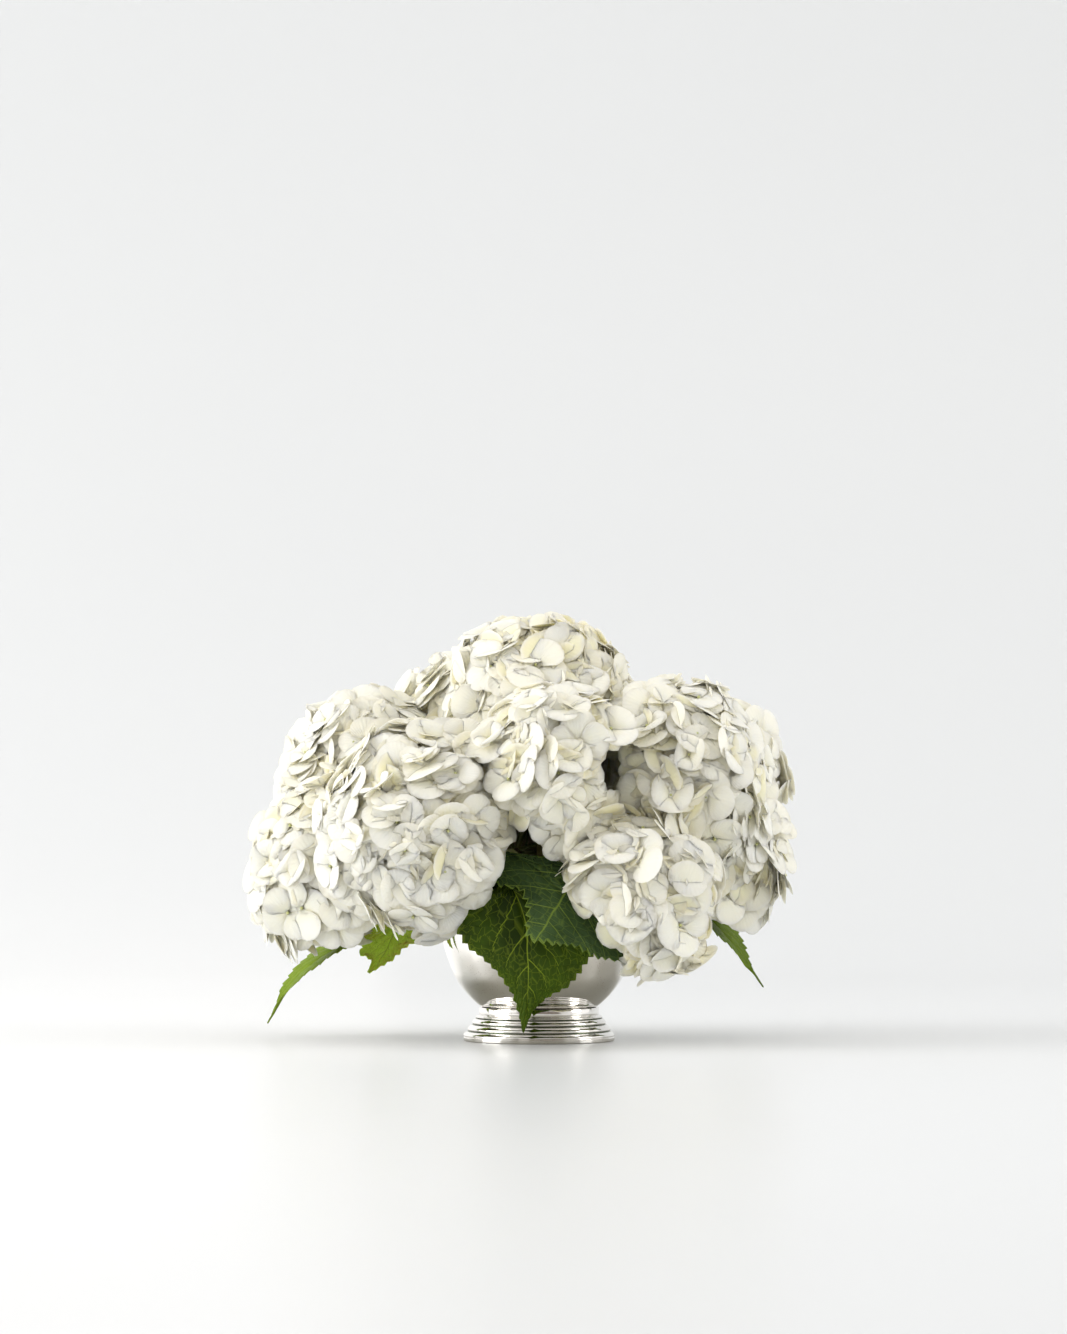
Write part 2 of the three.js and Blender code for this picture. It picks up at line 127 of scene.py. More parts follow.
patches, given, result = new_group(
    "patches",
    {"Place": ("NodeSocketVector", None), "Scale": ("NodeSocketFloat", 20.0),
     "Contrast": ("NodeSocketFloat", 1.0)},
    {"Amount": "NodeSocketFloat"},
)
cloud = add(patches, "ShaderNodeTexNoise", {"Vector": given["Place"], "Scale": given["Scale"], "Detail": 4.0})
centred = maths(patches, "SUBTRACT", cloud, 0.5)
spread = maths(patches, "MULTIPLY_ADD", centred, given["Contrast"], 0.5, clamp=True)
patches.links.new(spread, result["Amount"])
print("patches:", len(patches.nodes), "nodes")

# %% Shader group: veins
# Side veins for one blade length, where the first one leaves the midrib, how far they sweep
# towards the tip and where that sweep ends, how far the two sides are out of step, how much the
# veins waver, and the width of the net's lines.
SIDE_VEINS = 5.5
VEIN_START = 0.08
VEIN_SWEEP, VEIN_BOUND, LEAST_LEFT = 0.39, 1.1, 0.03
VEIN_SHIFT = 0.13
VEIN_WAVER = (0.035, 0.03, 0.0)
NET_WIDTH = 0.07


def build_veins():
    tree, given, result = new_group(
        "veins",
        {"Blade": ("NodeSocketVector", None), "Width": ("NodeSocketFloat", 0.05),
         "Net scale": ("NodeSocketFloat", 12.0)},
        {"Main": "NodeSocketFloat", "Net": "NodeSocketFloat"},
    )
    wobble = add(tree, "ShaderNodeTexNoise", {"Vector": given["Blade"], "Scale": 4.0, "Detail": 2.0}, out=1)
    push = add(tree, "ShaderNodeVectorMath", {0: wobble, 1: (0.5, 0.5, 0.5)}, operation="SUBTRACT")
    blade = add(tree, "ShaderNodeVectorMath", {0: push, 1: VEIN_WAVER, 2: given["Blade"]},
                operation="MULTIPLY_ADD")
    split = tree.nodes.new("ShaderNodeSeparateXYZ")
    tree.links.new(blade, split.inputs[0])
    side = maths(tree, "MULTIPLY_ADD", split.outputs[0], 2.0, -1.0)
    away = maths(tree, "ABSOLUTE", side)
    shifted = maths(tree, "MULTIPLY", maths(tree, "SIGN", side), VEIN_SHIFT)
    left_over = maths(tree, "SUBTRACT", 1.0, maths(tree, "DIVIDE", away, VEIN_BOUND))
    some_left = maths(tree, "MAXIMUM", left_over, LEAST_LEFT)
    swept = maths(tree, "MULTIPLY", maths(tree, "LOGARITHM", some_left, math.e), VEIN_SWEEP)
    start = maths(tree, "ADD", maths(tree, "SUBTRACT", split.outputs[1], VEIN_START), swept)
    phase = maths(tree, "ADD", maths(tree, "MULTIPLY", start, SIDE_VEINS), shifted)
    to_side_vein = maths(tree, "PINGPONG", phase, 0.5)
    side_width = maths(tree, "MULTIPLY", given["Width"], maths(tree, "SUBTRACT", 1.35, away))
    side_vein = maths(tree, "SUBTRACT", 1.0, maths(tree, "DIVIDE", to_side_vein, side_width), clamp=True)
    taper = maths(tree, "SUBTRACT", 0.75, maths(tree, "MULTIPLY", split.outputs[1], 0.4))
    rib_width = maths(tree, "MULTIPLY", given["Width"], taper)
    midrib = maths(tree, "SUBTRACT", 1.0, maths(tree, "DIVIDE", away, rib_width), clamp=True)
    main = maths(tree, "MAXIMUM", side_vein, midrib)
    cells = add(tree, "ShaderNodeTexVoronoi", {
        "Vector": blade, "Scale": given["Net scale"], "Randomness": 0.9}, feature="DISTANCE_TO_EDGE")
    net = maths(tree, "SUBTRACT", 1.0, maths(tree, "DIVIDE", cells, NET_WIDTH), clamp=True)
    tree.links.new(main, result["Main"])
    tree.links.new(net, result["Net"])
    return tree


veins = build_veins()
print("veins:", len(veins.nodes), "nodes")


def group_out(tree, group, sockets, label):
    return add(tree, "ShaderNodeGroup", sockets, out=label, node_tree=group)


# %% [markdown]
# ## Silver
# The bowl is spun and polished, so it is a mirror with a history: faint wiping marks that only
# change how sharp a reflection is, a breath of warm tarnish, and fine dark pits. A metal has no
# colour of its own under its mirror, so nearly all of its look comes from what stands round it.
# Only the foot's grooves are painted dark green: painted shade, and a painted reflection of leaves.

# %% Silver
BRIGHT_SILVER, WARM_SILVER = (0.94, 0.935, 0.92, 1), (0.88, 0.86, 0.83, 1)
# The groove colour is painted shade and a painted reflection of the green leaves.
PIT_BROWN, GROOVE_SHADE_AND_REFLECTION = (0.30, 0.24, 0.20, 1), (0.05, 0.085, 0.015, 1)


def silver_recipe(tree):
    place = add(tree, "ShaderNodeTexCoord", out=3)
    tarnish = group_out(tree, patches, {"Place": place, "Scale": 38.0, "Contrast": 2.4}, "Amount")
    wiping = add(tree, "ShaderNodeMapping", {"Vector": place, "Scale": (1.0, 1.0, 6.0)})
    smear = group_out(tree, patches, {"Place": wiping, "Scale": 60.0, "Contrast": 2.0}, "Amount")
    pits = add(tree, "ShaderNodeTexVoronoi", {"Vector": place, "Scale": 620.0}, feature="F1")
    pit = maths(tree, "LESS_THAN", pits, maths(tree, "MULTIPLY", tarnish, 0.2))
    metal = blend_colour(tree, tarnish, BRIGHT_SILVER, WARM_SILVER)
    worn = blend_colour(tree, maths(tree, "MULTIPLY", pit, 0.6), metal, PIT_BROWN)
    # Painted shade and reflection: the grooves are painted dark green, and made rougher.
    painted_groove_shade = add(tree, "ShaderNodeAttribute", out=2, attribute_name="painted_groove_shade")
    sheen = maths(tree, "MULTIPLY_ADD", smear, 0.05, 0.012)
    return {
        "Base Color": blend_colour(tree, painted_groove_shade, worn, GROOVE_SHADE_AND_REFLECTION),
        "Metallic": 1.0,
        "Roughness": maths(tree, "MULTIPLY_ADD", painted_groove_shade, 0.25, sheen),
        "Normal": add(tree, "ShaderNodeBump", {"Height": smear, "Strength": 0.02, "Distance": 0.001}),
    }


silver = finish_material("polished_silver", silver_recipe)
print(silver.name)

# %% [markdown]
# ## Petals
# A hydrangea petal is thin enough to glow. It is ivory, with a breath of lime where it leaves the
# eye, and faint veins fan out along it. Towards its rim it is painted whiter, a painted highlight for
# the bright thin edge. A little subsurface scattering lets light through, and the creases get a
# painted warm cream shade, strongest next to the eye and on florets sunk deep in a head.

# %% Petals
CREAM, LIGHT_CREAM = (0.955, 0.915, 0.75, 1), (0.965, 0.93, 0.78, 1)
# The rim colour is a painted highlight for the bright thin edge of a petal.
IVORY, PAINTED_RIM_HIGHLIGHT = (0.965, 0.945, 0.81, 1), (0.975, 0.96, 0.86, 1)
# The warm shade colour is painted shade, laid in the creases.
WARM_SHADE, LIME_CLAW = (0.945, 0.865, 0.53, 1), (0.66, 0.68, 0.38, 1)


def petal_recipe(tree):
    blade = add(tree, "ShaderNodeUVMap", uv_map="UVMap")
    split = tree.nodes.new("ShaderNodeSeparateXYZ")
    tree.links.new(blade, split.inputs[0])
    across, along = split.outputs[0], split.outputs[1]
    place = add(tree, "ShaderNodeTexCoord", out=3)
    drift = group_out(tree, patches, {"Place": place, "Scale": 55.0, "Contrast": 1.6}, "Amount")
    tint = add(tree, "ShaderNodeAttribute", out=2, attribute_name="tint")
    deep = add(tree, "ShaderNodeAttribute", out=2, attribute_name="deep")
    to_eye = maths(tree, "SUBTRACT", 1.0, maths(tree, "DIVIDE", along, 0.14), clamp=True)
    throat = maths(tree, "SUBTRACT", 1.0, maths(tree, "DIVIDE", along, 0.45), clamp=True)
    cream = blend_colour(tree, drift, CREAM, LIGHT_CREAM)
    ivory = blend_colour(tree, tint, cream, IVORY)
    # Painted shade: warm cream next to the eye and on deep florets, for light bounced between petals.
    painted_crease_shade = maths(tree, "MULTIPLY_ADD", throat, 0.5, maths(tree, "MULTIPLY", deep, 0.7), clamp=True)
    shaded = blend_colour(tree, painted_crease_shade, ivory, WARM_SHADE)
    # Painted highlight: the outer part of each petal is painted paler towards its rim.
    from_middle = add(tree, "ShaderNodeVectorMath", {
        0: blade, 1: (2.0, 2.0, 0.0), 2: (-1.0, -1.0, 0.0)}, operation="MULTIPLY_ADD")
    outward = add(tree, "ShaderNodeVectorMath", {0: from_middle}, out=1, operation="LENGTH")
    rim = add(tree, "ShaderNodeMapRange", {0: outward, 1: 0.72, 2: 1.0, 3: 0.0, 4: 0.7})
    pale = blend_colour(tree, rim, shaded, PAINTED_RIM_HIGHLIGHT)
    fan = maths(tree, "DIVIDE", maths(tree, "SUBTRACT", across, 0.5), maths(tree, "ADD", along, 0.25))
    lines = maths(tree, "SINE", maths(tree, "MULTIPLY", fan, 55.0))
    return {
        "Base Color": blend_colour(tree, maths(tree, "MULTIPLY", to_eye, 0.5), pale, LIME_CLAW),
        "Roughness": maths(tree, "MULTIPLY_ADD", drift, 0.15, 0.5),
        "Specular IOR Level": 0.3,
        "Subsurface Weight": 0.75,
        "Subsurface Radius": (1.0, 0.94, 0.80),
        "Subsurface Scale": 0.0014,
        "Normal": add(tree, "ShaderNodeBump", {"Height": lines, "Strength": 0.18, "Distance": 0.0002}),
    }


petal = finish_material("ivory_petal", petal_recipe)
print(petal.name)

# %% [markdown]
# ## Leaves
# All leaves share one recipe with different greens: the youngest is thin and yellow, one in
# front has a dusky bloom, the rest are a warm mid green. The youngest is painted lighter still,
# painted light for the daylight shining through it from behind. Each blade also drifts in slow
# patches of its own and is painted darker towards its stalk, a painted shade where the heads hang
# over it. The veins are paler than the blade and sink into it, so the blade swells between them.

# %% Leaf finishes
def leaf_recipe(deep, fresh, young, vein, rough, through, margin):
    def recipe(tree):
        blade = add(tree, "ShaderNodeUVMap", uv_map="UVMap")
        place = add(tree, "ShaderNodeTexCoord", out=3)
        drift = group_out(tree, patches, {"Place": place, "Scale": 30.0, "Contrast": 3.0}, "Amount")
        drawn = group_out(tree, veins, {
            "Blade": blade, "Width": 0.027, "Net scale": 17.0}, "Main").node.outputs
        split = tree.nodes.new("ShaderNodeSeparateXYZ")
        tree.links.new(blade, split.inputs[0])
        youth = add(tree, "ShaderNodeAttribute", out=2, attribute_name="youth")
        # Painted shade towards the stalk, where the heads overhang, mixed with the blade's own slow patches.
        drift_and_painted_base_shade = maths(tree, "MULTIPLY", maths(tree, "ADD", drift, split.outputs[1]), 0.5)
        ground = blend_colour(tree, youth, blend_colour(tree, drift_and_painted_base_shade, deep, fresh), young)
        aside = add(tree, "ShaderNodeAttribute", out=2, attribute_name="aside")
        rim = add(tree, "ShaderNodeMapRange", {0: aside, 1: 0.94, 2: 0.98, 3: 0.0, 4: margin})
        rimmed = blend_colour(tree, rim, ground, vein)
        netted = blend_colour(tree, maths(tree, "MULTIPLY", drawn["Net"], 0.24), rimmed, vein)
        line = maths(tree, "POWER", drawn["Main"], 0.7)
        sunk = maths(tree, "MAXIMUM", line, maths(tree, "MULTIPLY", drawn["Net"], 0.5))
        return {
            "Base Color": blend_colour(tree, maths(tree, "MULTIPLY", line, 0.85), netted, vein),
            "Roughness": maths(tree, "MULTIPLY_ADD", drift, 0.16, rough),
            "Specular IOR Level": 0.14,
            "Subsurface Weight": through,
            "Subsurface Radius": (0.5, 1.0, 0.2),
            "Subsurface Scale": 0.0015,
            "Normal": add(tree, "ShaderNodeBump", {
                "Height": sunk, "Strength": 0.55, "Distance": 0.0006}, invert=True),
        }
    return recipe


leaf_finish = {
    "leaf": finish_material("green_leaf", leaf_recipe(
        deep=(0.009, 0.021, 0.001, 1), fresh=(0.068, 0.128, 0.003, 1), young=(0.27, 0.40, 0.03, 1),
        vein=(0.32, 0.42, 0.03, 1), rough=0.36, through=0.1, margin=0.2)),
    "leaf_dusky": finish_material("dusky_leaf", leaf_recipe(
        deep=(0.010, 0.026, 0.007, 1), fresh=(0.085, 0.150, 0.050, 1), young=(0.15, 0.25, 0.08, 1),
        vein=(0.27, 0.38, 0.06, 1), rough=0.42, through=0.06, margin=0.6)),
    # Painted light: this blade is painted lighter than its own yellow green, for light shining through it.
    "leaf_pale": finish_material("young_leaf", leaf_recipe(
        deep=(0.40, 0.54, 0.04, 1), fresh=(0.58, 0.68, 0.09, 1), young=(0.62, 0.72, 0.12, 1),
        vein=(0.16, 0.17, 0.05, 1), rough=0.45, through=0.8, margin=0.0)),
}
print(list(leaf_finish))

# %% [markdown]
# ## Stalks and foam
# The woody stems are green to brown with pale flecks, the thin stalks inside a head are lime,
# and the wet foam is a dark matt green full of fine pores.

# %% Stalk and foam finishes
def stalk_recipe(young, old, fleck):
    def recipe(tree):
        place = add(tree, "ShaderNodeTexCoord", out=3)
        drift = group_out(tree, patches, {"Place": place, "Scale": 45.0, "Contrast": 2.0}, "Amount")
        specks = add(tree, "ShaderNodeTexVoronoi", {"Vector": place, "Scale": 420.0}, feature="F1")
        speck = maths(tree, "SUBTRACT", 1.0, maths(tree, "DIVIDE", specks, 0.25), clamp=True)
        return {
            "Base Color": blend_colour(tree, maths(tree, "MULTIPLY", speck, 0.5),
                                       blend_colour(tree, drift, young, old), fleck),
            "Roughness": maths(tree, "MULTIPLY_ADD", drift, 0.2, 0.45),
            "Normal": add(tree, "ShaderNodeBump", {"Height": speck, "Strength": 0.3, "Distance": 0.0003}),
        }
    return recipe


DARK_FOAM, LIGHT_FOAM = (0.022, 0.050, 0.016, 1), (0.085, 0.15, 0.055, 1)


def foam_recipe(tree):
    place = add(tree, "ShaderNodeTexCoord", out=3)
    drift = group_out(tree, patches, {"Place": place, "Scale": 25.0, "Contrast": 1.5}, "Amount")
    pores = add(tree, "ShaderNodeTexVoronoi", {"Vector": place, "Scale": 900.0}, feature="F1")
    return {
        "Base Color": blend_colour(tree, maths(tree, "MULTIPLY", pores, drift), DARK_FOAM, LIGHT_FOAM),
        "Roughness": maths(tree, "MULTIPLY_ADD", pores, 0.1, 0.88),
        "Normal": add(tree, "ShaderNodeBump", {"Height": pores, "Strength": 0.7, "Distance": 0.0006}),
    }


stem_finish = finish_material("woody_stem", stalk_recipe(
    young=(0.36, 0.36, 0.13, 1), old=(0.40, 0.31, 0.15, 1), fleck=(0.58, 0.54, 0.32, 1)))
stalk_finish = finish_material("flower_stalk", stalk_recipe(
    young=(0.54, 0.57, 0.22, 1), old=(0.60, 0.62, 0.33, 1), fleck=(0.68, 0.70, 0.44, 1)))
foam_finish = finish_material("flower_foam", foam_recipe)
print(stem_finish.name, stalk_finish.name, foam_finish.name)

# %% [markdown]
# ## Turned pieces
# Bowl and foot were spun on a lathe, so each is one outline turned round the upright axis. The
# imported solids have 32 flats, which a mirror would show at once. Here the outline is a smooth
# curve through the same points and is turned in 160 steps. Where the outline has a true edge,
# such as in a groove, the point is doubled closely so that the shading stays crisp.

# %% Outline helpers
def mesh_piece(name, points, faces, material, smooth=True):
    mesh = bpy.data.meshes.new(name)
    mesh.from_pydata([tuple(p) for p in points], [], faces)
    mesh.materials.append(material)
    mesh.polygons.foreach_set("use_smooth", [smooth] * len(mesh.polygons))
    mesh.update()
    piece = bpy.data.objects.new(name, mesh)
    bpy.context.scene.collection.objects.link(piece)
    return piece


def smooth_line(points, steps):
    """Points on a smooth curve through the given ones, with the given steps between each two."""
    p = np.array(points, float)
    p = np.vstack([2 * p[0] - p[1], p, 2 * p[-1] - p[-2]])
    line = []
    for i in range(1, len(p) - 2):
        a, b, c, d = p[i - 1:i + 3]
        for t in np.arange(steps) / steps:
            bend, twist = 2 * a - 5 * b + 4 * c - d, 3 * b - a - 3 * c + d
            line.append(0.5 * (2 * b + (c - a) * t + bend * t**2 + twist * t**3))
    return np.array(line + [p[-2]])


# How wide the painted shade in a groove is, in mm, and a height far from every piece for one without grooves
GROOVE_SHADE_WIDTH, NO_GROOVE_SHADE = 0.4, -99.0


def turned(name, outline, material, steps=160, shaded_grooves=()):
    """A closed turned piece. The outline is radius and height in mm from axis to axis, bottom first.
    Heights in mm may be given where a groove gets painted shade and a painted reflection of leaves."""
    outline = np.array(outline, float) * MM
    rings = outline[1:-1]
    angles = np.arange(steps) * 2 * math.pi / steps
    points = [(0, 0, outline[0][1])]
    for radius, height in rings:
        points += [(radius * math.cos(a), radius * math.sin(a), height) for a in angles]
    points.append((0, 0, outline[-1][1]))
    at = lambda ring, step: 1 + ring * steps + step % steps
    faces = []
    for step in range(steps):
        faces.append((0, at(0, step + 1), at(0, step)))
        faces.append((len(points) - 1, at(len(rings) - 1, step), at(len(rings) - 1, step + 1)))
        for ring in range(len(rings) - 1):
            faces.append((at(ring, step), at(ring, step + 1), at(ring + 1, step + 1), at(ring + 1, step)))
    piece = mesh_piece(name, points, faces, material)
    heights = np.array(points)[:, 2:] / MM
    # Painted shade in the grooves: strongest at each given height, gone a few tenths of a mm away.
    dark = np.exp(-((heights - np.array([*shaded_grooves, NO_GROOVE_SHADE])) / GROOVE_SHADE_WIDTH) ** 2).max(axis=1)
    piece.data.attributes.new("painted_groove_shade", "FLOAT", "POINT").data.foreach_set("value", dark)
    return piece


def crease_edges(piece, degrees):
    piece.data.set_sharp_from_angle(angle=math.radians(degrees))


all_triangles = []


def finish_piece(piece, slot, *nodes):
    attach(piece, "root")
    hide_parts(*nodes)
    triangles = sum(len(face.vertices) - 2 for face in piece.data.polygons)
    all_triangles.append(triangles)
    print(f"{piece.name}: {triangles} triangles, {sum(all_triangles)} so far")


# %% Foot
FOOT_RADIUS, NECK_RADIUS, NECK_TOP = 52.9, 42.0, 23.6
REED_GROOVES = [(FOOT_RADIUS, 2.9), (49.9, 7.0), (46.6, 11.7), (44.2, 16.0), (42.4, 18.2)]


def foot_outline():
    line = [(0, 0), (FOOT_RADIUS - 3, 0), (FOOT_RADIUS - 0.6, 0.1), (FOOT_RADIUS - 0.1, 0.5),
            (FOOT_RADIUS, 1.2), (FOOT_RADIUS, 2.3)]
    for (radius, height), (next_radius, next_height) in zip(REED_GROOVES, REED_GROOVES[1:]):
        line += [(radius - 0.5, height - 0.15), (radius - 0.55, height), (radius - 0.35, height + 0.15)]
        for share in np.linspace(0.1, 0.94, 10):
            lean = radius + (next_radius - radius) * share**1.8
            bead = 0.9 * math.sin(math.pi * share) ** 0.7
            line.append((lean - 0.3 + bead, height + (next_height - height) * share))
    line += [(NECK_RADIUS - 0.3, 18.3), (NECK_RADIUS - 0.1, 18.5), (NECK_RADIUS, 18.9), (NECK_RADIUS, 22.9)]
    line += [(NECK_RADIUS - 0.3, 23.4), (NECK_RADIUS - 0.9, NECK_TOP), (NECK_RADIUS - 2.2, 23.4)]
    return line + [(34, 21.3), (24, 18.6), (0, 17.6)]


foot = turned("foot_polished", foot_outline(), silver, shaded_grooves=[z for _, z in REED_GROOVES[1:4]])
crease_edges(foot, 40)
finish_piece(foot, "silver", "foot")

# %% Bowl
RIM_RADIUS, RIM_HEIGHT, WALL = 78.0, 97.0, 1.4
BOWL_OUTER = [
    (0, 18), (12, 18.15), (24, 18.9), (34, 21.2), (41.6, 24.6), (50.3, 32.6), (57.2, 41.6), (61.2, 50.5),
    (66, 64), (68.8, 77.3), (72.5, 89), (RIM_RADIUS - 0.6, RIM_HEIGHT - 1.2),
]


def bowl_outline():
    outer = smooth_line(BOWL_OUTER, 5)
    along = np.gradient(outer, axis=0)
    along /= np.linalg.norm(along, axis=1)[:, None]
    inner = outer + np.column_stack([-along[:, 1], along[:, 0]]) * WALL
    inner[0, 0] = 0
    lip = [(RIM_RADIUS + 0.1, RIM_HEIGHT - 0.5), (RIM_RADIUS, RIM_HEIGHT + 0.1),
           (RIM_RADIUS - 0.7, RIM_HEIGHT + 0.3), (RIM_RADIUS - 1.4, RIM_HEIGHT),
           (RIM_RADIUS - 1.8, RIM_HEIGHT - 0.6)]
    return [*outer, *lip, *inner[::-1][1:]]


bowl = turned("bowl_polished", bowl_outline(), silver)
finish_piece(bowl, "silver", "bowl")

# %% [markdown]
# ## Flower foam
# Foam is cut by hand and soaks, so its mound is lumpy. A turned outline fills the bowl, and a
# fixed noise then pushes each point a little. Below the rim it is held back from the wall.

# %% Foam
def build_foam():
    inside = [(r - 2.6, z) for r, z in smooth_line(BOWL_OUTER, 3) if z > 35.5]
    top = smooth_line([inside[-1], (68, 104), (64, 110), (54, 115), (40, 117.5), (18, 118)], 5)
    piece = turned("foam_block", [(0, 35), (30, 35), *inside, *top[1:], (0, 118)], foam_finish, steps=96)
    for vertex in piece.data.vertices:
        place = vertex.co
        if place.z > 0.097:
            lump = noise.noise(place * 90) * 1.6 + noise.noise(place * 320) * 0.6
            place += Vector((place.x, place.y, 0.03)).normalized() * lump * MM
    return piece


foam = build_foam()
finish_piece(foam, "foam", "floral_foam")

# %% [markdown]
# ## Rods along paths
# Stems, leaf stalks and the hair-thin stalks inside a head are all round rods along a path. One
# Geometry Nodes tree makes them: a mesh of bare edges holds the paths, each point has its own
# radius, and the tree sweeps a circle along every edge chain. To change how smooth the rods are,
# only the tree's Sides input changes.

# %% Geometry Nodes tree: rods
def new_tree(name, inputs):
    tree = bpy.data.node_groups.new(name, "GeometryNodeTree")
    tree.interface.new_socket("Geometry", in_out="INPUT", socket_type="NodeSocketGeometry")
    for label, kind in inputs.items():
        tree.interface.new_socket(label, in_out="INPUT", socket_type=kind)
    tree.interface.new_socket("Geometry", in_out="OUTPUT", socket_type="NodeSocketGeometry")
    return tree, tree.nodes.new("NodeGroupInput").outputs, tree.nodes.new("NodeGroupOutput").inputs


def named(tree, name, kind="FLOAT"):
    return add(tree, "GeometryNodeInputNamedAttribute", {"Name": name}, data_type=kind)


def end_tree(tree, given, result, geometry):
    """Real geometry with its material, which is what the export can read."""
    real = add(tree, "GeometryNodeRealizeInstances", {"Geometry": geometry})
    finished = add(tree, "GeometryNodeSetMaterial", {"Geometry": real, "Material": given["Material"]})
    tree.links.new(finished, result[0])
    return tree


def build_rods():
    tree, given, result = new_tree("rods_along_paths", {
        "Sides": "NodeSocketInt", "Material": "NodeSocketMaterial"})
    paths = add(tree, "GeometryNodeMeshToCurve", {"Mesh": given["Geometry"]})
    ring = add(tree, "GeometryNodeCurvePrimitiveCircle", {"Resolution": given["Sides"], "Radius": 1.0})
    swept = add(tree, "GeometryNodeCurveToMesh", {
        "Curve": paths, "Profile Curve": ring, "Scale": named(tree, "radius"), "Fill Caps": True})
    rounded = add(tree, "GeometryNodeSetShadeSmooth", {"Geometry": swept})
    return end_tree(tree, given, result, rounded)


rods_tree = build_rods()
inputs = [item.name for item in rods_tree.interface.items_tree if item.in_out == "INPUT"]
print(rods_tree.name, "inputs:", inputs)


# %% Running a tree on a piece
def run_tree(name, mesh, tree, values):
    """The plain mesh that a Geometry Nodes tree makes of a starting mesh."""
    source = bpy.data.objects.new(name + "_source", mesh)
    bpy.context.scene.collection.objects.link(source)
    modifier = source.modifiers.new("tree", "NODES")
    modifier.node_group = tree
    for item in tree.interface.items_tree:
        if item.in_out == "INPUT" and item.name in values:
            modifier[item.identifier] = values[item.name]
    evaluated = source.evaluated_get(bpy.context.evaluated_depsgraph_get())
    made = bpy.data.meshes.new_from_object(evaluated)
    source.modifiers.clear()
    bpy.data.objects.remove(source)
    made.name = name
    piece = bpy.data.objects.new(name, made)
    bpy.context.scene.collection.objects.link(piece)
    return piece


def rods(name, paths, material, sides):
    """Rods along several paths; each path is a list of points with a radius each, in metres."""
    points, edges, radii = [], [], []
    for line, line_radii in paths:
        edges += [(len(points) + i, len(points) + i + 1) for i in range(len(line) - 1)]
        points += [tuple(p) for p in line]
        radii += list(line_radii)
    mesh = bpy.data.meshes.new(name + "_paths")
    mesh.from_pydata(points, edges, [])
    mesh.attributes.new("radius", "FLOAT", "POINT").data.foreach_set("value", radii)
    return run_tree(name, mesh, rods_tree, {"Sides": sides, "Material": material})


print("rods ready")

# %% [markdown]
# ## Heads: where each one is
# The heads are balls that press against each other. Each has a centre and a radius, and keeps to
# its own side of a flat border with each neighbour, as soap bubbles do. The stem rises from the
# foam, arches over the rim and ends inside the head, and the head's crown faces away from it.

# %% Heads, stems and borders
HEADS = {
    "top": (2, 14, 237, 66), "left_back": (-114, 52, 178, 69), "left_front": (-77, -58, 148, 75),
    "left_low": (-136, 6, 121, 69), "right": (90, -30, 182, 70), "right_low": (68, -84, 102, 58),
    "right_far": (122, 14, 125, 54), "front": (13, -74, 190, 60), "back": (-18, 104, 132, 68),
    "back_left": (-44, 70, 214, 60), "back_right": (104, 68, 177, 70),
}
LOW_HEAD, WIDE_HEAD, STEM_RADIUS, STEM_IN_CORE = 160, 100, 2.8, 12


def unit(v):
    v = np.asarray(v, float)
    return v / np.linalg.norm(v)


def stem_route(centre):
    low = centre[2] < LOW_HEAD
    hole, floor, arch = (34, 88, 16) if low else (18, 72, 10)
    sideways = np.array([centre[0], centre[1], 0.0])
    spread = 1 if low else min(np.linalg.norm(sideways) / WIDE_HEAD, 1)
    foot = unit(sideways) * hole * spread + (0, 0, floor)
    over = (foot + centre) / 2 + (0, 0, arch)
    return foot, over, centre + unit(over - centre) * STEM_IN_CORE


heads = {}
for name, (x, y, z, radius) in HEADS.items():
    centre = np.array([x, y, z], float)
    route = stem_route(centre)
    heads[name] = {"centre": centre, "radius": radius, "route": route, "axis": unit(centre - route[1])}
print(len(heads), "heads")


# %% Borders between heads and round the bowl
HOLDER_OUTLINE = np.array([(52.9, 0), (78, 97), (69, 108), (48, 117), (0, 117)], float)
HOLDER_CLEARANCE, HOLDER_LEAN = 7, 0.25


def neighbour_borders(name):
    one, borders = heads[name], []
    for other_name, other in heads.items():
        apart = np.linalg.norm(other["centre"] - one["centre"])
        if other_name == name or apart > one["radius"] + other["radius"] + 12:
            continue
        normal = (other["centre"] - one["centre"]) / apart
        share = (apart**2 + one["radius"]**2 - other["radius"]**2) / (2 * apart)
        borders.append((normal, normal @ one["centre"] + share, other_name))
    return borders


def nearest_on_holder(point):
    flat = np.array([math.hypot(point[0], point[1]), point[2]])
    best = None
    for a, b in zip(HOLDER_OUTLINE, HOLDER_OUTLINE[1:]):
        share = np.clip((flat - a) @ (b - a) / ((b - a) @ (b - a)), 0, 1)
        near = a + share * (b - a)
        if best is None or np.linalg.norm(flat - near) < np.linalg.norm(flat - best):
            best = near
    return np.array([point[0] / flat[0] * best[0], point[1] / flat[0] * best[0], best[1]])


def holder_border(centre, point):
    line = nearest_on_holder(centre) - centre
    lean = unit((math.hypot(line[0], line[1]), line[2] * HOLDER_LEAN))
    normal = np.append(unit(-point[:2]) * lean[0], lean[1])
    return normal, min(lean[1] * z - lean[0] * r for r, z in HOLDER_OUTLINE) - HOLDER_CLEARANCE


borders_of = {name: neighbour_borders(name) for name in heads}
print({name: len(borders) for name, borders in borders_of.items()})

# %% [markdown]
# ## Woody stems
# Each stem is a rod through the same three points as its solid, smoothed, a little thicker at
# the foot and swollen at two nodes, where leaves once grew.

# %% Stems
def arc(foot, over, tip, count):
    t = np.linspace(0, 1, count)[:, None]
    return (1 - t) ** 2 * foot + 2 * t * (1 - t) * over + t**2 * tip


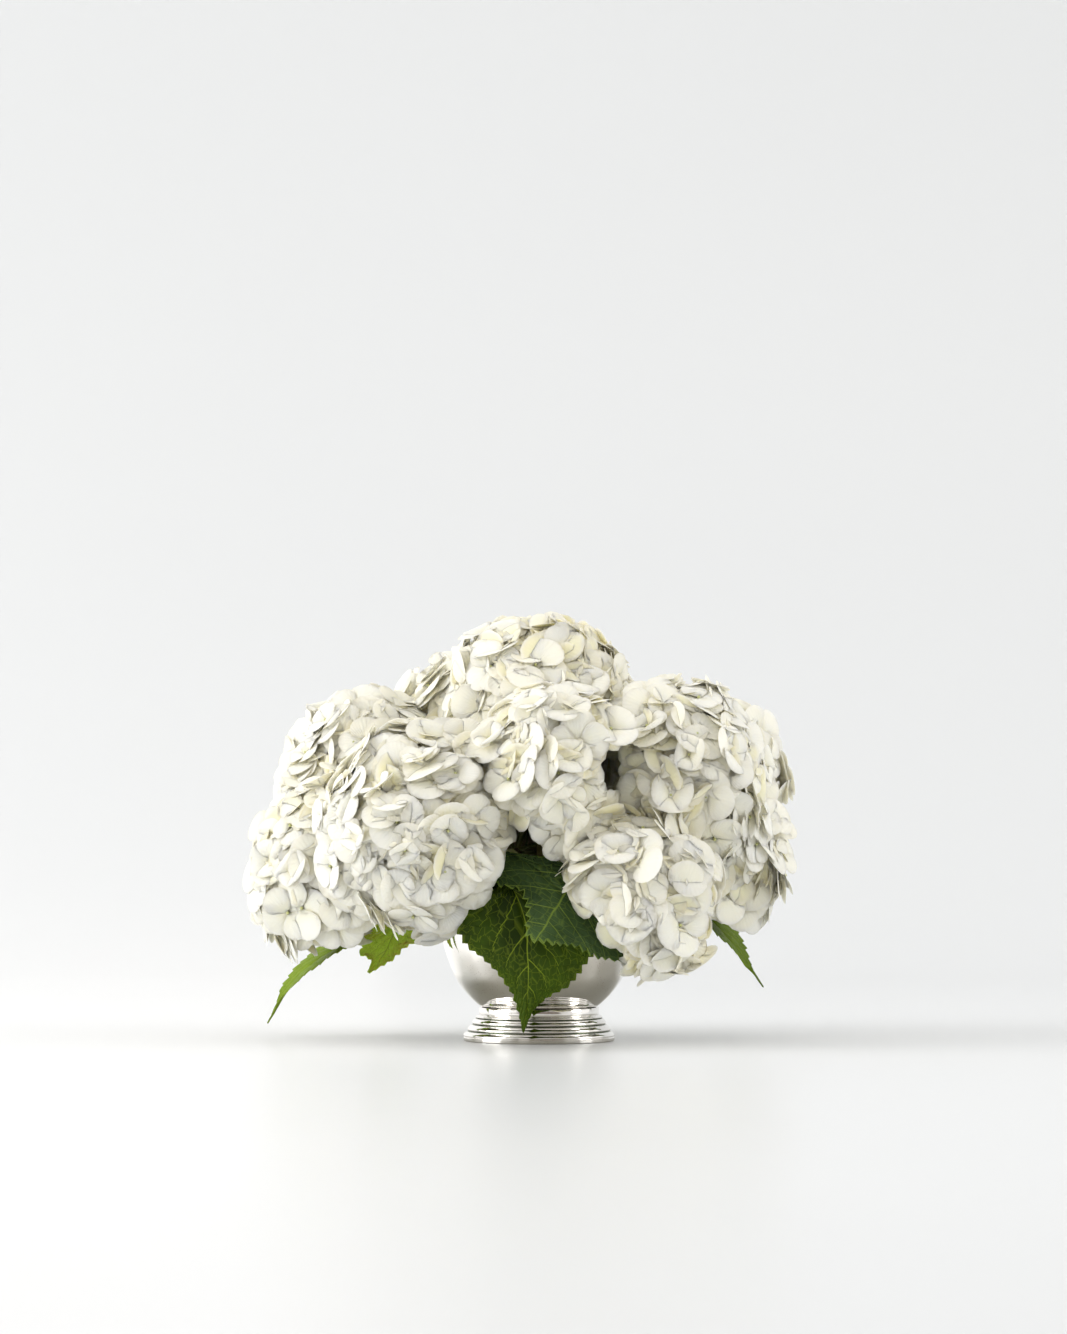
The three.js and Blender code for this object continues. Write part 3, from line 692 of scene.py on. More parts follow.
for name, head in heads.items():
    line = arc(*head["route"], 22)
    share = np.linspace(0, 1, 22)
    swell = 0.5 * np.exp(-((share - 0.33) / 0.02) ** 2) + 0.4 * np.exp(-((share - 0.72) / 0.02) ** 2)
    radii = STEM_RADIUS * (1.05 - 0.2 * share) + swell
    stem = rods("woody_" + name, [(line * MM, radii * MM)], stem_finish, 12)
    finish_piece(stem, "stem", "stem_" + name)

# %% [markdown]
# ## Leaves
# A hydrangea leaf is broad, drawn out to a long tip and toothed all round. Each blade is a grid
# between its midrib and its two edges. For the three leaves that face the front the edges are
# drawn point by point, because their outline is what the eye reads. The others take theirs from
# a rule. The teeth, the arch of the blade and the swelling between veins are then moved in, and
# the grid gets a real thickness.

# %% Leaf outlines
# Each leaf: the petiole's foot and arch, midrib, the way it faces, and how far its edges fall back.
# Edges are given either as X and Z points beside the midrib's, or as half-widths for the rule.
# The upper front leaf hangs askew: its own midrib crosses the blade, so that is given apart, as its
# two ends in X and Z and the width that its veins reach over.
LEAVES = {
    "front": dict(
        foot=(-10, -52, 96), over=(-14, -70, 116), face=(0.1, -1, 0.12), arch=8, slot="leaf",
        grid=(150, 52), shown=(0.2, 1.0),
        rib=[(-20, -80.5, 111), (-15, -83.5, 102.5), (-9, -86, 84), (-7.8, -86.8, 66), (-7.4, -86.3, 52),
             (-7.8, -85, 40), (-8, -83.5, 30), (-8.6, -82, 20), (-11, -80, 9.7)],
        left=[(-22, 111), (-44, 103), (-56.4, 87), (-50.5, 72), (-39.9, 62.7),
              (-28, 51), (-19.5, 39), (-14.6, 26), (-11.3, 9.9)],
        right=[(-18, 111), (12, 101), (33, 82), (38, 66), (31.6, 55.8),
               (21, 43), (7, 35), (-4.4, 24.5), (-10.7, 9.6)]),
    "front_upper": dict(
        foot=(2, -38, 104), over=(-16, -52, 140), face=(0.25, -1, 0.5), arch=2, slot="leaf_dusky",
        grid=(130, 48), shown=(0.06, 0.1), midrib=((35, 133.5), (-2, 75), 140),
        rib=[(-22, -70, 134), (-10, -77, 128), (2, -84, 120), (11, -89, 111.5), (21, -90, 103), (32, -87, 92.5),
             (43, -80, 82), (53, -73, 70), (61.5, -66, 57)],
        left=[(-24, 132), (-31, 114), (-14, 109), (-8.5, 97), (-7, 78), (8, 72),
              (25, 70), (41, 61.5), (61, 57.5)],
        right=[(-20, 132), (-5, 131), (11, 129), (24, 123), (36, 115),
               (47, 104), (56, 92), (62, 76), (63, 58)]),
    "left_pale": dict(
        foot=(-46, 22, 94), over=(-66, 26, 114), face=(-0.1, -1, 0.1), arch=4, slot="leaf_pale",
        grid=(70, 28), shown=(0.34, 1.0),
        rib=[(-80, 25, 98), (-90, 26.5, 88), (-99, 28, 79), (-104, 28.5, 70), (-108, 29, 61),
             (-114, 29, 53), (-120, 29, 46)],
        left=[(-82, 99), (-104, 95), (-116, 84), (-121, 73), (-127.4, 62.2), (-118.5, 54.5), (-120.8, 46.4)],
        right=[(-78, 97), (-79, 90), (-83, 80), (-83, 71), (-94.5, 64), (-103, 55.5), (-119.4, 45.6)]),
    "left_edge": dict(
        foot=(-44, 40, 94), over=(-78, 52, 112), face=(-0.6, -0.26, 0.8), arch=3, slot="leaf",
        grid=(110, 24), half=(19, 18),
        shown=(0.25, 1.0), fold=0.25, youth=0.7,
        rib=[(-118, 52, 74), (-150, 51, 58), (-174, 50, 38), (-192, 48, 9.5)]),
    "right_edge": dict(
        foot=(48, 36, 94), over=(74, 48, 114), face=(0.62, -0.34, 0.72), arch=3, slot="leaf",
        grid=(110, 24), half=(20, 22),
        shown=(0.05, 1.0), fold=0.22, youth=0.35,
        rib=[(106, 50, 100), (124, 51, 80), (140, 50, 61), (159, 48, 35)]),
    "back_left": dict(
        foot=(-24, 40, 96), over=(-34, 56, 116), face=(-0.3, 1, 0.1), arch=3, slot="leaf",
        grid=(60, 20), half=(17, 16),
        rib=[(-40, 70, 104), (-43, 80, 82), (-40, 82, 56), (-34, 84, 28)]),
    "back": dict(
        foot=(6, 50, 96), over=(5, 68, 116), face=(0, 1, 0.1), arch=4, slot="leaf",
        grid=(70, 28), half=(24, 24),
        rib=[(4, 80.5, 106), (5, 86, 80), (5, 85, 52), (8, 80, 12)]),
    "back_right": dict(
        foot=(28, 42, 96), over=(38, 56, 116), face=(0.3, 1, 0.1), arch=3, slot="leaf",
        grid=(60, 20), half=(16, 17),
        rib=[(44, 69, 104), (47, 79, 82), (48, 81, 56), (46, 82, 30)]),
}
TEETH_SPACING, TOOTH_DEPTH = 6.8, 4.4
# In mm: how far a blade swells between its veins, how far its midrib sinks, and its thickness
VEIN_RISE, MIDRIB_SINK, BLADE_THICKNESS = 0.55, 0.5, 0.7


def resample(points, count):
    """Evenly spaced steps of a smooth curve's own parameter."""
    line = smooth_line(points, 24)
    at = np.linspace(0, len(line) - 1, count)
    return np.column_stack([np.interp(at, np.arange(len(line)), line[:, k]) for k in range(line.shape[1])])


def blade_edges(leaf, rib, front):
    """The midrib's and both edges' points, station by station."""
    count = len(rib)
    along = unit_rows(np.gradient(rib, axis=0))
    across = unit_rows(np.cross(front, along))
    t = np.linspace(0, 1, count)
    if "half" in leaf:
        share = np.sin(math.pi * np.clip(t / 0.88, 0, 1) ** 0.75) ** 0.9
        share = np.maximum(share, 0.10 * np.clip((1 - t) / 0.2, 0, 1))
        return [rib + across * (side * half * share)[:, None] for side, half in zip((-1, 1), leaf["half"])]
    edges = []
    for side in ("left", "right"):
        flat = resample(leaf[side], count)
        dx, dz = flat[:, 0] - rib[:, 0], flat[:, 1] - rib[:, 2]
        depth = rib[:, 1] - (front[0] * dx + front[2] * dz) / front[1]
        edges.append(np.column_stack([flat[:, 0], depth, flat[:, 1]]))
    return edges


def unit_rows(rows):
    return rows / np.maximum(np.linalg.norm(rows, axis=1), 1e-9)[:, None]


print(len(LEAVES), "leaves")


# %% Leaf blades
def toothed(edge, rib, t):
    """The edge with teeth that point to the tip."""
    forward = unit_rows(np.gradient(edge, axis=0))
    length = np.concatenate([[0], np.cumsum(np.linalg.norm(np.diff(edge, axis=0), axis=1))])
    ramp = (length / TEETH_SPACING) % 1
    reach = np.linalg.norm(edge - rib, axis=1)
    size = np.minimum(TOOTH_DEPTH * np.clip(t / 0.06, 0, 1) * np.clip((1 - t) / 0.08, 0, 1), reach * 0.3)
    out = edge - rib
    out = unit_rows(out - forward * (out * forward).sum(axis=1)[:, None])
    return edge + out * (size * (ramp - 0.6))[:, None]


def vein_swell(u, t):
    """How much the blade swells between its side veins, from 0 on a vein to 1 between two."""
    away = np.abs(u)
    start = t - VEIN_START + VEIN_SWEEP * np.log(np.maximum(1 - away / VEIN_BOUND, LEAST_LEFT))
    phase = start * SIDE_VEINS + VEIN_SHIFT * np.sign(u)
    return np.sin(math.pi * (phase % 1)) ** 2 * np.clip(away / 0.12, 0, 1)


def blade_grid(name, leaf):
    rows, columns = leaf["grid"]
    rib = resample(leaf["rib"], rows)
    front = unit(leaf["face"])
    t = np.linspace(0, 1, rows)
    left, right = [toothed(edge, rib, t) for edge in blade_edges(leaf, rib, front)]
    along = unit_rows(np.gradient(rib, axis=0))
    across = unit_rows(np.cross(front, along))
    normal = unit_rows(np.cross(along, across))
    widest = max(np.linalg.norm(left - rib, axis=1).max(), np.linalg.norm(right - rib, axis=1).max())
    seed = float(len(name) * 7 + columns)
    grid = np.zeros((rows, columns + 1, 3))
    for j in range(columns + 1):
        u = 2 * j / columns - 1
        edge = left if u < 0 else right
        flat = rib + (edge - rib) * abs(u)
        span = np.linalg.norm(flat - rib, axis=1)
        fall = leaf.get("fold", 0) * span - leaf["arch"] * (span / widest) ** 2
        swell = VEIN_RISE * vein_swell(np.full(rows, u), t) * np.clip((1 - t) * 6, 0, 1)
        swell = swell - MIDRIB_SINK * math.exp(-(u / 0.05) ** 2)
        wave = [noise.noise(Vector((p[0], p[1] + seed, p[2])) * 0.05) * 2.2 * abs(u) ** 1.5 for p in flat]
        grid[:, j] = flat + normal * (fall + swell + np.array(wave))[:, None]
    return grid


def grid_normals(grid):
    down, right = [np.gradient(grid, axis=axis).reshape(-1, 3) for axis in (0, 1)]
    return unit_rows(np.cross(down, right))


def grid_quads(rows, columns):
    at = lambda i, j: i * columns + j
    return [(at(i, j), at(i + 1, j), at(i + 1, j + 1), at(i, j + 1))
            for i in range(rows - 1) for j in range(columns - 1)]


def shell_from_grid(grid, thickness):
    """A closed thin shell on a grid: front face, back face and rim, with its texture places."""
    rows, columns = grid.shape[:2]
    normal = grid_normals(grid)
    flat = grid.reshape(-1, 3)
    points = np.vstack([flat + normal * thickness / 2, flat - normal * thickness / 2])
    half = rows * columns
    at = lambda i, j: i * columns + j
    faces = []
    for quad in grid_quads(rows, columns):
        faces += [quad, tuple(half + k for k in reversed(quad))]
    border = [at(0, j) for j in range(columns)] + [at(i, columns - 1) for i in range(1, rows)]
    border += [at(rows - 1, j) for j in range(columns - 2, -1, -1)]
    border += [at(i, 0) for i in range(rows - 2, 0, -1)]
    for a, b in zip(border, border[1:] + border[:1]):
        faces.append((a, b, half + b, half + a))
    places = [(j / (columns - 1), i / (rows - 1)) for i in range(rows) for j in range(columns)] * 2
    return points, faces, places


def lens_from_grid(grid, thickness):
    """A closed thin lens on a grid: its front and back share the rim."""
    rows, columns = grid.shape[:2]
    normal = grid_normals(grid)
    inner = np.zeros((rows, columns), bool)
    inner[1:-1, 1:-1] = True
    inside = inner.ravel()
    flat = grid.reshape(-1, 3)
    lift = normal * (inside * thickness / 2)[:, None]
    points = np.vstack([flat + lift, (flat - lift)[inside]])
    back = np.arange(rows * columns)
    back[inside] = rows * columns + np.arange(inside.sum())
    faces = []
    for quad in grid_quads(rows, columns):
        faces += [quad, tuple(back[k] for k in reversed(quad))]
    return points, faces, inside


def lay_out(mesh, places):
    layer = mesh.uv_layers.new(name="UVMap")
    corners = np.zeros(len(mesh.loops), int)
    mesh.loops.foreach_get("vertex_index", corners)
    layer.data.foreach_set("uv", np.array(places, np.float32)[corners].ravel())


def veins_along(points, midrib):
    """Texture places for a blade whose midrib is given apart."""
    start, end = np.array(midrib[0], float), np.array(midrib[1], float)
    length = np.linalg.norm(end - start)
    down = (end - start) / length
    flat = np.array(points)[:, [0, 2]] / MM - start
    return np.column_stack([flat @ (-down[1], down[0]) / midrib[2] + 0.5, flat @ down / length])


leaf_points, shown_points = {}, {}
for name, leaf in LEAVES.items():
    grid = blade_grid(name, leaf)
    leaf_points[name] = grid[::4, ::4].reshape(-1, 3)
    if "shown" in leaf:
        from_share, to_side = leaf["shown"]
        rows, columns = grid.shape[:2]
        first_row, last_column = int(from_share * rows), int((to_side + 1) / 2 * columns)
        shown_points[name] = grid[first_row::3, :last_column + 1:3].reshape(-1, 3)
    points, faces, places = shell_from_grid(grid * MM, BLADE_THICKNESS * MM)
    blade = mesh_piece("blade_" + name, points, faces, leaf_finish[leaf["slot"]])
    lay_out(blade.data, veins_along(points, leaf["midrib"]) if "midrib" in leaf else places)
    aside = [abs(2 * place[0] - 1) for place in places]
    for label, values in (("youth", [leaf.get("youth", 0.0)] * len(points)), ("aside", aside)):
        blade.data.attributes.new(label, "FLOAT", "POINT").data.foreach_set("value", values)
    crease_edges(blade, 50)
    finish_piece(blade, leaf["slot"], "leaf_" + name)

# %% Leaf stalks
for name, leaf in LEAVES.items():
    line = arc(*[np.array(p, float) for p in (leaf["foot"], leaf["over"], leaf["rib"][0])], 12)
    stalk = rods("petiole_" + name, [(line * MM, np.linspace(1.4, 1.1, 12) * MM)], stalk_finish, 8)
    finish_piece(stalk, "stem", "leaf_" + name)

# %% [markdown]
# ## Florets
# What looks like a flower's petal is a sepal, broad and rounded with a narrow claw, and four of
# them make a floret 30 to 35 mm across. A few kinds are enough: flat, cupped, half folded. Each
# sepal is a thin closed shell of a few dozen faces, bent by rules and a seeded draw, since
# well over a thousand florets will be set out.

# %% One sepal
CLAW_SHARE = 0.45
SEPAL_LENGTH, SEPAL_WIDTH, SEPAL_THICKNESS = 19.4, 22.6, 0.4


def sepal(n, length, width, rise, curl, cup, ruffle, phase, azimuth, lift):
    """Points, faces and texture places of one closed sepal, in mm, with its claw at the eye."""
    steps = np.linspace(-1, 1, n + 1)
    points, places = [], []
    for t in steps:
        for s in -steps:
            x, y = s * math.sqrt(1 - t * t / 2), t * math.sqrt(1 - s * s / 2)
            along = (y + 1) / 2
            narrow = CLAW_SHARE + (1 - CLAW_SHARE) * min(along / 0.25, 1) ** 0.6
            across = x * narrow
            edge = min(1.0, x * x + y * y)
            reach = 0.8 + length * along
            height = length * (math.sin(rise) * along - curl * along**2)
            height += cup * (across**2 - 0.15) * min(1, along * 2)
            height += ruffle * edge * math.sin(phase + 3.1 * math.atan2(x, y + 0.4))
            height += lift
            points.append((reach * math.cos(rise), across * width / 2, height))
            places.append((0.5 + 0.5 * x, along))
    cosine, sine = math.cos(azimuth), math.sin(azimuth)
    spin = np.array([[cosine, -sine, 0], [sine, cosine, 0], [0, 0, 1]])
    grid = (np.array(points) @ spin.T).reshape(n + 1, n + 1, 3)
    points, faces, inside = lens_from_grid(grid, SEPAL_THICKNESS)
    return points, faces, places + [place for place, within in zip(places, inside) if within]


print("one sepal has", len(sepal(4, 14, 15, 0.2, 0.1, 1, 0.5, 0, 0, 0)[1]), "faces")

# %% Kinds of floret
# How far each kind's sepals rise, in radians: open ones, half closed ones, then plainer ones that
# fill the inside of a head.
OPENINGS = (0.06, 0.14, 0.22, 0.32, 0.10, 0.27, 0.55, 0.75, 0.95, 0.65, 0.10, 0.22, 0.34, 0.62, 0.85, 0.15)
OPEN_KINDS, OUTER_KINDS = 6, 10
draw = np.random.default_rng(41)
kinds = bpy.data.collections.new("floret_kinds")


def build_floret(kind, opening):
    points, faces, places = [], [], []
    pair = draw.uniform(0.86, 1.0)
    for k in range(4):
        upper = k % 2
        shape = sepal(
            4 if kind < OUTER_KINDS else 3,
            length=SEPAL_LENGTH * draw.uniform(0.93, 1.07) * (pair if upper else 1),
            width=SEPAL_WIDTH * draw.uniform(0.92, 1.1),
            rise=opening + 0.07 * upper + draw.uniform(-0.06, 0.06),
            curl=opening * 0.5 + draw.uniform(0.0, 0.16),
            cup=draw.uniform(-0.2, 0.6) if upper else draw.uniform(-0.6, 0.2), ruffle=draw.uniform(0.15, 0.5),
            phase=draw.uniform(0, 6.28), azimuth=math.radians(90 * k + draw.uniform(-9, 9)), lift=1.0 * upper)
        start = len(points)
        points += list(shape[0])
        faces += [tuple(start + i for i in face) for face in shape[1]]
        places += shape[2]
    floret = mesh_piece(f"floret_kind_{kind:02d}", np.array(points) * MM, faces, petal)
    lay_out(floret.data, places)
    crease_edges(floret, 60)
    bpy.context.scene.collection.objects.unlink(floret)
    kinds.objects.link(floret)
    return len(faces)


print("faces of each kind:", [build_floret(kind, opening) for kind, opening in enumerate(OPENINGS)])

# %% [markdown]
# ## Setting out the florets
# A real head branches into small bunches, and each bunch makes a little dome of its own. Where
# two bunches meet, their florets turn away from each other and stand on edge, like stacked
# plates. So the eyes are set on an even spiral round the head, and then each floret leans away
# from the middle of its bunch and follows a slow swirl. Neighbours are put at different depths,
# so that petals overlap instead of cutting through each other.

# %% Where the florets of a head are
GOLDEN_ANGLE = math.pi * (3 - math.sqrt(5))
# Millimetres between florets in front and at the back, and how far round a head they reach.
FLORET_SPACING, BACK_SPACING, FLORET_REACH = 18.6, 20.4, math.radians(135)
# The florets' eyes lie this far inside the ball, at several depths; the full depth gets most painted shade.
EYE_DEPTH, DEPTH_LEVELS, LEVEL_STEP, FULL_DEPTH = 5, 4, 2.0, 30
# A plainer layer further in closes the gaps.
INNER_SPACING, INNER_DEPTH = 20.0, 15.0
# How many bunches a head has, how far their florets lean apart, and how far their rims drop.
BUNCHES, BUNCH_SPREAD, BUNCH_DROP = 15, 1.1, 4.0
# The swirl's strength and size, and how much florets turn up to the light and to the front.
SWIRL, SWIRL_SIZE = 0.75, 38.0
TO_LIGHT, TO_FRONT = 0.35, 0.7
# No floret faces further from its head's surface than this cosine.
LEAST_FACING = 0.76
# Chance shifts of a floret's place and of the way it faces, and the share of open kinds.
PLACE_CHANCE, FACING_CHANCE, OPEN_SHARE = 0.045, 0.12, 0.75
# Where two heads blend into one mass, the crease between them is filled by this much.
FILL, FILL_REACH = 9.0, 10.0
# The creases that stay open, and how far the florets keep from them.
OPEN_CREASES = {("left_front", "front"): 8, ("left_front", "right_low"): 5, ("top", "right"): 4,
                ("right_low", "front"): 6, ("right", "front"): 10, ("top", "front"): 4}
# Parts of a head that are flatter than a ball: direction, depth in mm, width as a cosine.
DENTS = {"top": [((0.3, -0.2, 1.0), 10.0, 0.55), ((-0.3, -0.2, 1.0), 4.0, 0.7)],
         "left_low": [((-0.6, -0.25, -0.75), -5.0, 0.5), ((-1.0, -0.1, 0.25), 9.0, 0.55)]}
# Gaps in front, between the heads: the middle and half sizes in X and Z of each. The woody stems
# show in the first one, and the second is a narrow dark slit.
GAPS = [((-6, 140), (24, 26)), ((45, 186), (16, 24))]
GAP_BACK = 40
# Some florets carry a second one close on top.
NESTED_SHARE, NEST_STEP = 0.3, 3.4
# Half the depth and the radius that a floret needs clear of a leaf, and of one that must show.
CLEAR_DEPTH, CLEAR_RADIUS, CLEAR_SHOWN = 3.5, 14.5, 12


def spiral(count, axis, turn, reach):
    across = unit(np.cross(axis, (0.3, 1, 0.2)))
    beside = np.cross(axis, across)
    ways = []
    for i in range(count):
        down = math.acos(1 - 2 * (i + 0.5) / count)
        if down > reach:
            break
        angle = turn + i * GOLDEN_ANGLE
        sideways = across * math.cos(angle) + beside * math.sin(angle)
        ways.append(axis * math.cos(down) + sideways * math.sin(down))
    return np.array(ways)


def pick_levels(ways, radius):
    """A depth level for each floret that differs most from its near neighbours' levels."""
    levels = np.full(len(ways), -1)
    for i, way in enumerate(ways):
        apart = np.linalg.norm(ways - way, axis=1) * radius
        near = [j for j in range(len(ways)) if levels[j] >= 0 and apart[j] < 34]
        cost = [sum(max(0, 2 - abs(level - levels[j])) / apart[j] for j in near)
                for level in range(DEPTH_LEVELS)]
        levels[i] = int(np.argmin(cost))
    return levels


def crosses_leaf(eye, facing):
    for points in leaf_points.values():
        offset = points - eye
        high = offset @ facing
        wide = np.linalg.norm(offset - high[:, None] * facing, axis=1)
        if np.any((np.abs(high) < CLEAR_DEPTH) & (wide < CLEAR_RADIUS)):
            return True
    return False


def hides_leaf(eye):
    """Whether a floret would stand in front of a part of a leaf that is meant to be seen."""
    for points in shown_points.values():
        offset = points - eye
        if np.any((np.hypot(offset[:, 0], offset[:, 2]) < CLEAR_SHOWN) & (offset[:, 1] > 0)):
            return True
    return False


def crease_between(name, other):
    """How far the florets keep from the border, or None where it is filled."""
    return OPEN_CREASES.get((name, other), OPEN_CREASES.get((other, name)))


def in_gap(eye):
    return eye[1] < GAP_BACK and any(
        ((eye[0] - x) / half_x) ** 2 + ((eye[2] - z) / half_z) ** 2 < 1
        for (x, z), (half_x, half_z) in GAPS)


def fits(name, eye, facing):
    if in_gap(eye):
        return False
    for normal, distance, other in borders_of[name] + [(*holder_border(heads[name]["centre"], eye), None)]:
        if normal @ eye - distance > -(crease_between(name, other) or 1.0):
            return False
    return not crosses_leaf(eye, facing) and not hides_leaf(eye)


def filled_and_dented(name, way, eye):
    """How far a floret moves out where heads blend, or in where the head is flatter."""
    move = 0.0
    for normal, distance, other in borders_of[name]:
        if crease_between(name, other) is None:
            move = max(move, FILL * math.exp(-max(0, distance - normal @ eye) / FILL_REACH))
    for direction, depth, width in DENTS.get(name, []):
        move -= depth * np.clip((way @ unit(direction) - width) / (1 - width), 0, 1)
    return move


def even_ways(name, spacing, turn):
    radius = heads[name]["radius"]
    count = round(4 * math.pi * radius**2 / (0.866 * spacing**2))
    return spiral(count, heads[name]["axis"], turn, FLORET_REACH)


def set_out(name, seed):
    centre, radius = heads[name]["centre"], heads[name]["radius"]
    chance = np.random.default_rng(seed)
    ways = even_ways(name, BACK_SPACING if "back" in name[:4] else FLORET_SPACING, chance.uniform(0, 6.28))
    ways = unit_rows(ways + chance.normal(0, PLACE_CHANCE, ways.shape))
    bunches = spiral(BUNCHES, heads[name]["axis"], chance.uniform(0, 6.28), FLORET_REACH + 0.3)
    levels = pick_levels(ways, radius)
    florets = []
    for way, level in zip(ways, levels):
        bunch = bunches[np.argmax(bunches @ way)]
        off = way - bunch * (bunch @ way)
        swirl = np.array(noise.noise_vector(Vector((centre + way * radius) / SWIRL_SIZE + seed)))
        swirl -= way * (swirl @ way)
        sunk = LEVEL_STEP * level + BUNCH_DROP * (off @ off) / 0.25
        eye = centre + way * (radius - EYE_DEPTH - sunk)
        eye = eye + way * filled_and_dented(name, way, eye)
        lift = (0, -TO_FRONT * max(0, 0.45 - abs(way[1])), TO_LIGHT * max(0, 0.6 - way[2]))
        facing = unit(way + BUNCH_SPREAD * off + SWIRL * swirl + lift + chance.normal(0, FACING_CHANCE, 3))
        if facing @ way < LEAST_FACING:
            sideways = unit(facing - way * (facing @ way))
            facing = way * LEAST_FACING + sideways * math.sqrt(1 - LEAST_FACING**2)
        if not fits(name, eye, facing):
            continue
        nested = level < 2 and chance.uniform() < NESTED_SHARE
        spin, size, tint = chance.uniform(0, 6.28), chance.uniform(0.95, 1.22), chance.uniform()
        if nested or chance.uniform() < OPEN_SHARE:
            kind = chance.integers(OPEN_KINDS)
        else:
            kind = chance.integers(OPEN_KINDS, OUTER_KINDS)
        if level > 1:
            kind = chance.integers(OUTER_KINDS, len(OPENINGS))
        # How deep a floret sits sets how much warm painted shade its petals get.
        florets.append(dict(
            eye=eye, facing=facing, spin=spin, size=size, kind=int(kind), tint=tint,
            deep=min(1, sunk / FULL_DEPTH)))
        if nested:
            florets.append(dict(
                eye=eye + facing * NEST_STEP, facing=unit(facing + chance.normal(0, 0.1, 3)),
                spin=spin + 0.78, size=size * chance.uniform(0.82, 0.98),
                kind=int(chance.integers(OUTER_KINDS)), tint=tint, deep=0.0))
    for way in even_ways(name, INNER_SPACING, chance.uniform(0, 6.28)):
        eye = centre + way * (radius - INNER_DEPTH)
        facing = unit(way + chance.normal(0, 0.2, 3))
        if fits(name, eye, facing):
            florets.append(dict(
                eye=eye, facing=facing, spin=chance.uniform(0, 6.28), size=chance.uniform(1.05, 1.25),
                kind=int(chance.integers(OUTER_KINDS, len(OPENINGS))), tint=chance.uniform(0, 0.5),
                deep=1.0))
    return florets


# Blender shifts this noise by the clock unless it is seeded, and then no two runs agree.
SWIRL_SEED = 7
noise.seed_set(SWIRL_SEED)
florets = {name: set_out(name, 11 + 3 * i) for i, name in enumerate(heads)}
print({name: len(found) for name, found in florets.items()}, sum(len(found) for found in florets.values()))

# %% [markdown]
# ## Scattering them
# The second Geometry Nodes tree takes bare points that carry a direction, a spin, a size and a
# kind, and sets a floret on each. That is far lighter than copying objects, and any of the
# numbers can be changed without touching a petal.

# %% Geometry Nodes tree: scatter
def build_scatter():
    tree, given, result = new_tree("scatter_on_points", {
        "Shapes": "NodeSocketCollection", "Material": "NodeSocketMaterial"})
    shapes = add(tree, "GeometryNodeCollectionInfo", {
        "Collection": given["Shapes"], "Separate Children": True, "Reset Children": True})
    faced = add(tree, "FunctionNodeAlignRotationToVector", {
        "Vector": named(tree, "facing", "FLOAT_VECTOR")}, axis="Z")
    turn = add(tree, "FunctionNodeAxisAngleToRotation", {"Axis": (0, 0, 1), "Angle": named(tree, "spin")})
    spun = add(tree, "FunctionNodeRotateRotation", {0: faced, 1: turn}, rotation_space="LOCAL")
    placed = add(tree, "GeometryNodeInstanceOnPoints", {
        "Points": given["Geometry"], "Instance": shapes, "Pick Instance": True,
        "Instance Index": named(tree, "kind", "INT"), "Rotation": spun, "Scale": named(tree, "size")})
    return end_tree(tree, given, result, placed)


scatter_tree = build_scatter()
print(scatter_tree.name, len(scatter_tree.nodes), "nodes")


# %% Petals of each head
def points_mesh(name, rows):
    mesh = bpy.data.meshes.new(name)
    mesh.from_pydata([tuple(row["eye"] * MM) for row in rows], [], [])
    mesh.attributes.new("facing", "FLOAT_VECTOR", "POINT").data.foreach_set(
        "vector", np.array([row["facing"] for row in rows], np.float32).ravel())
    for label in ("spin", "size", "tint", "deep"):
        mesh.attributes.new(label, "FLOAT", "POINT").data.foreach_set("value", [row[label] for row in rows])
    mesh.attributes.new("kind", "INT", "POINT").data.foreach_set("value", [row["kind"] for row in rows])
    return mesh


for name, rows in florets.items():
    made = run_tree("petals_" + name, points_mesh(name, rows), scatter_tree,
                    {"Shapes": kinds, "Material": petal})
    finish_piece(made, "petal", "bloom_" + name)

# %% [markdown]
# ## Eyes and stalks
# In the middle of each floret sits a tiny lime bead, and behind it a thin stalk runs back to the
# bunch, then to the woody stem. They show only in the gaps, but there they are what makes the
# head look grown. The rods tree makes the stalks and the scatter tree sets the beads.

# %% Eyes
bead = mesh_piece("eye_bead", [(0, 0, 2.7 * MM), (0, 0, 0.2 * MM)] + [
    (r * MM * math.cos(a), r * MM * math.sin(a), z * MM)
    for r, z in ((0.95, 2.3), (1.2, 1.0)) for a in np.arange(6) * math.pi / 3],
    [(0, 2 + k, 2 + (k + 1) % 6) for k in range(6)] + [(1, 8 + (k + 1) % 6, 8 + k) for k in range(6)] + [
    (2 + k, 8 + k, 8 + (k + 1) % 6, 2 + (k + 1) % 6) for k in range(6)], stalk_finish)
bpy.context.scene.collection.objects.unlink(bead)
beads = bpy.data.collections.new("beads")
beads.objects.link(bead)
for name, rows in florets.items():
    eyes = [{**row, "kind": 0, "size": 1.0} for row in rows if row["kind"] < OUTER_KINDS]
    made = run_tree("eyes_" + name, points_mesh(name, eyes), scatter_tree,
                    {"Shapes": beads, "Material": stalk_finish})
    finish_piece(made, "stem", "bloom_" + name)


# %% Stalks inside the heads
STALK_JOINTS, JOINT_SHARE = 13, 0.42


def stalk_paths(name, rows, seed):
    head = heads[name]
    centre, radius, axis = head["centre"], head["radius"], head["axis"]
    hub = head["route"][2]
    joints = centre + spiral(STALK_JOINTS, axis, seed, math.radians(125)) * radius * JOINT_SHARE
    paths = [(arc(hub, (hub + joint) / 2 + axis * 4, joint, 6) * MM, np.linspace(1.7, 1.1, 6) * MM)
             for joint in joints]
    for row in rows:
        joint = joints[np.argmin(np.linalg.norm(joints - row["eye"], axis=1))]
        paths.append((arc(joint, row["eye"] - row["facing"] * 12, row["eye"] + row["facing"] * 0.5, 4) * MM,
                      np.linspace(0.75, 0.5, 4) * MM))
    return paths


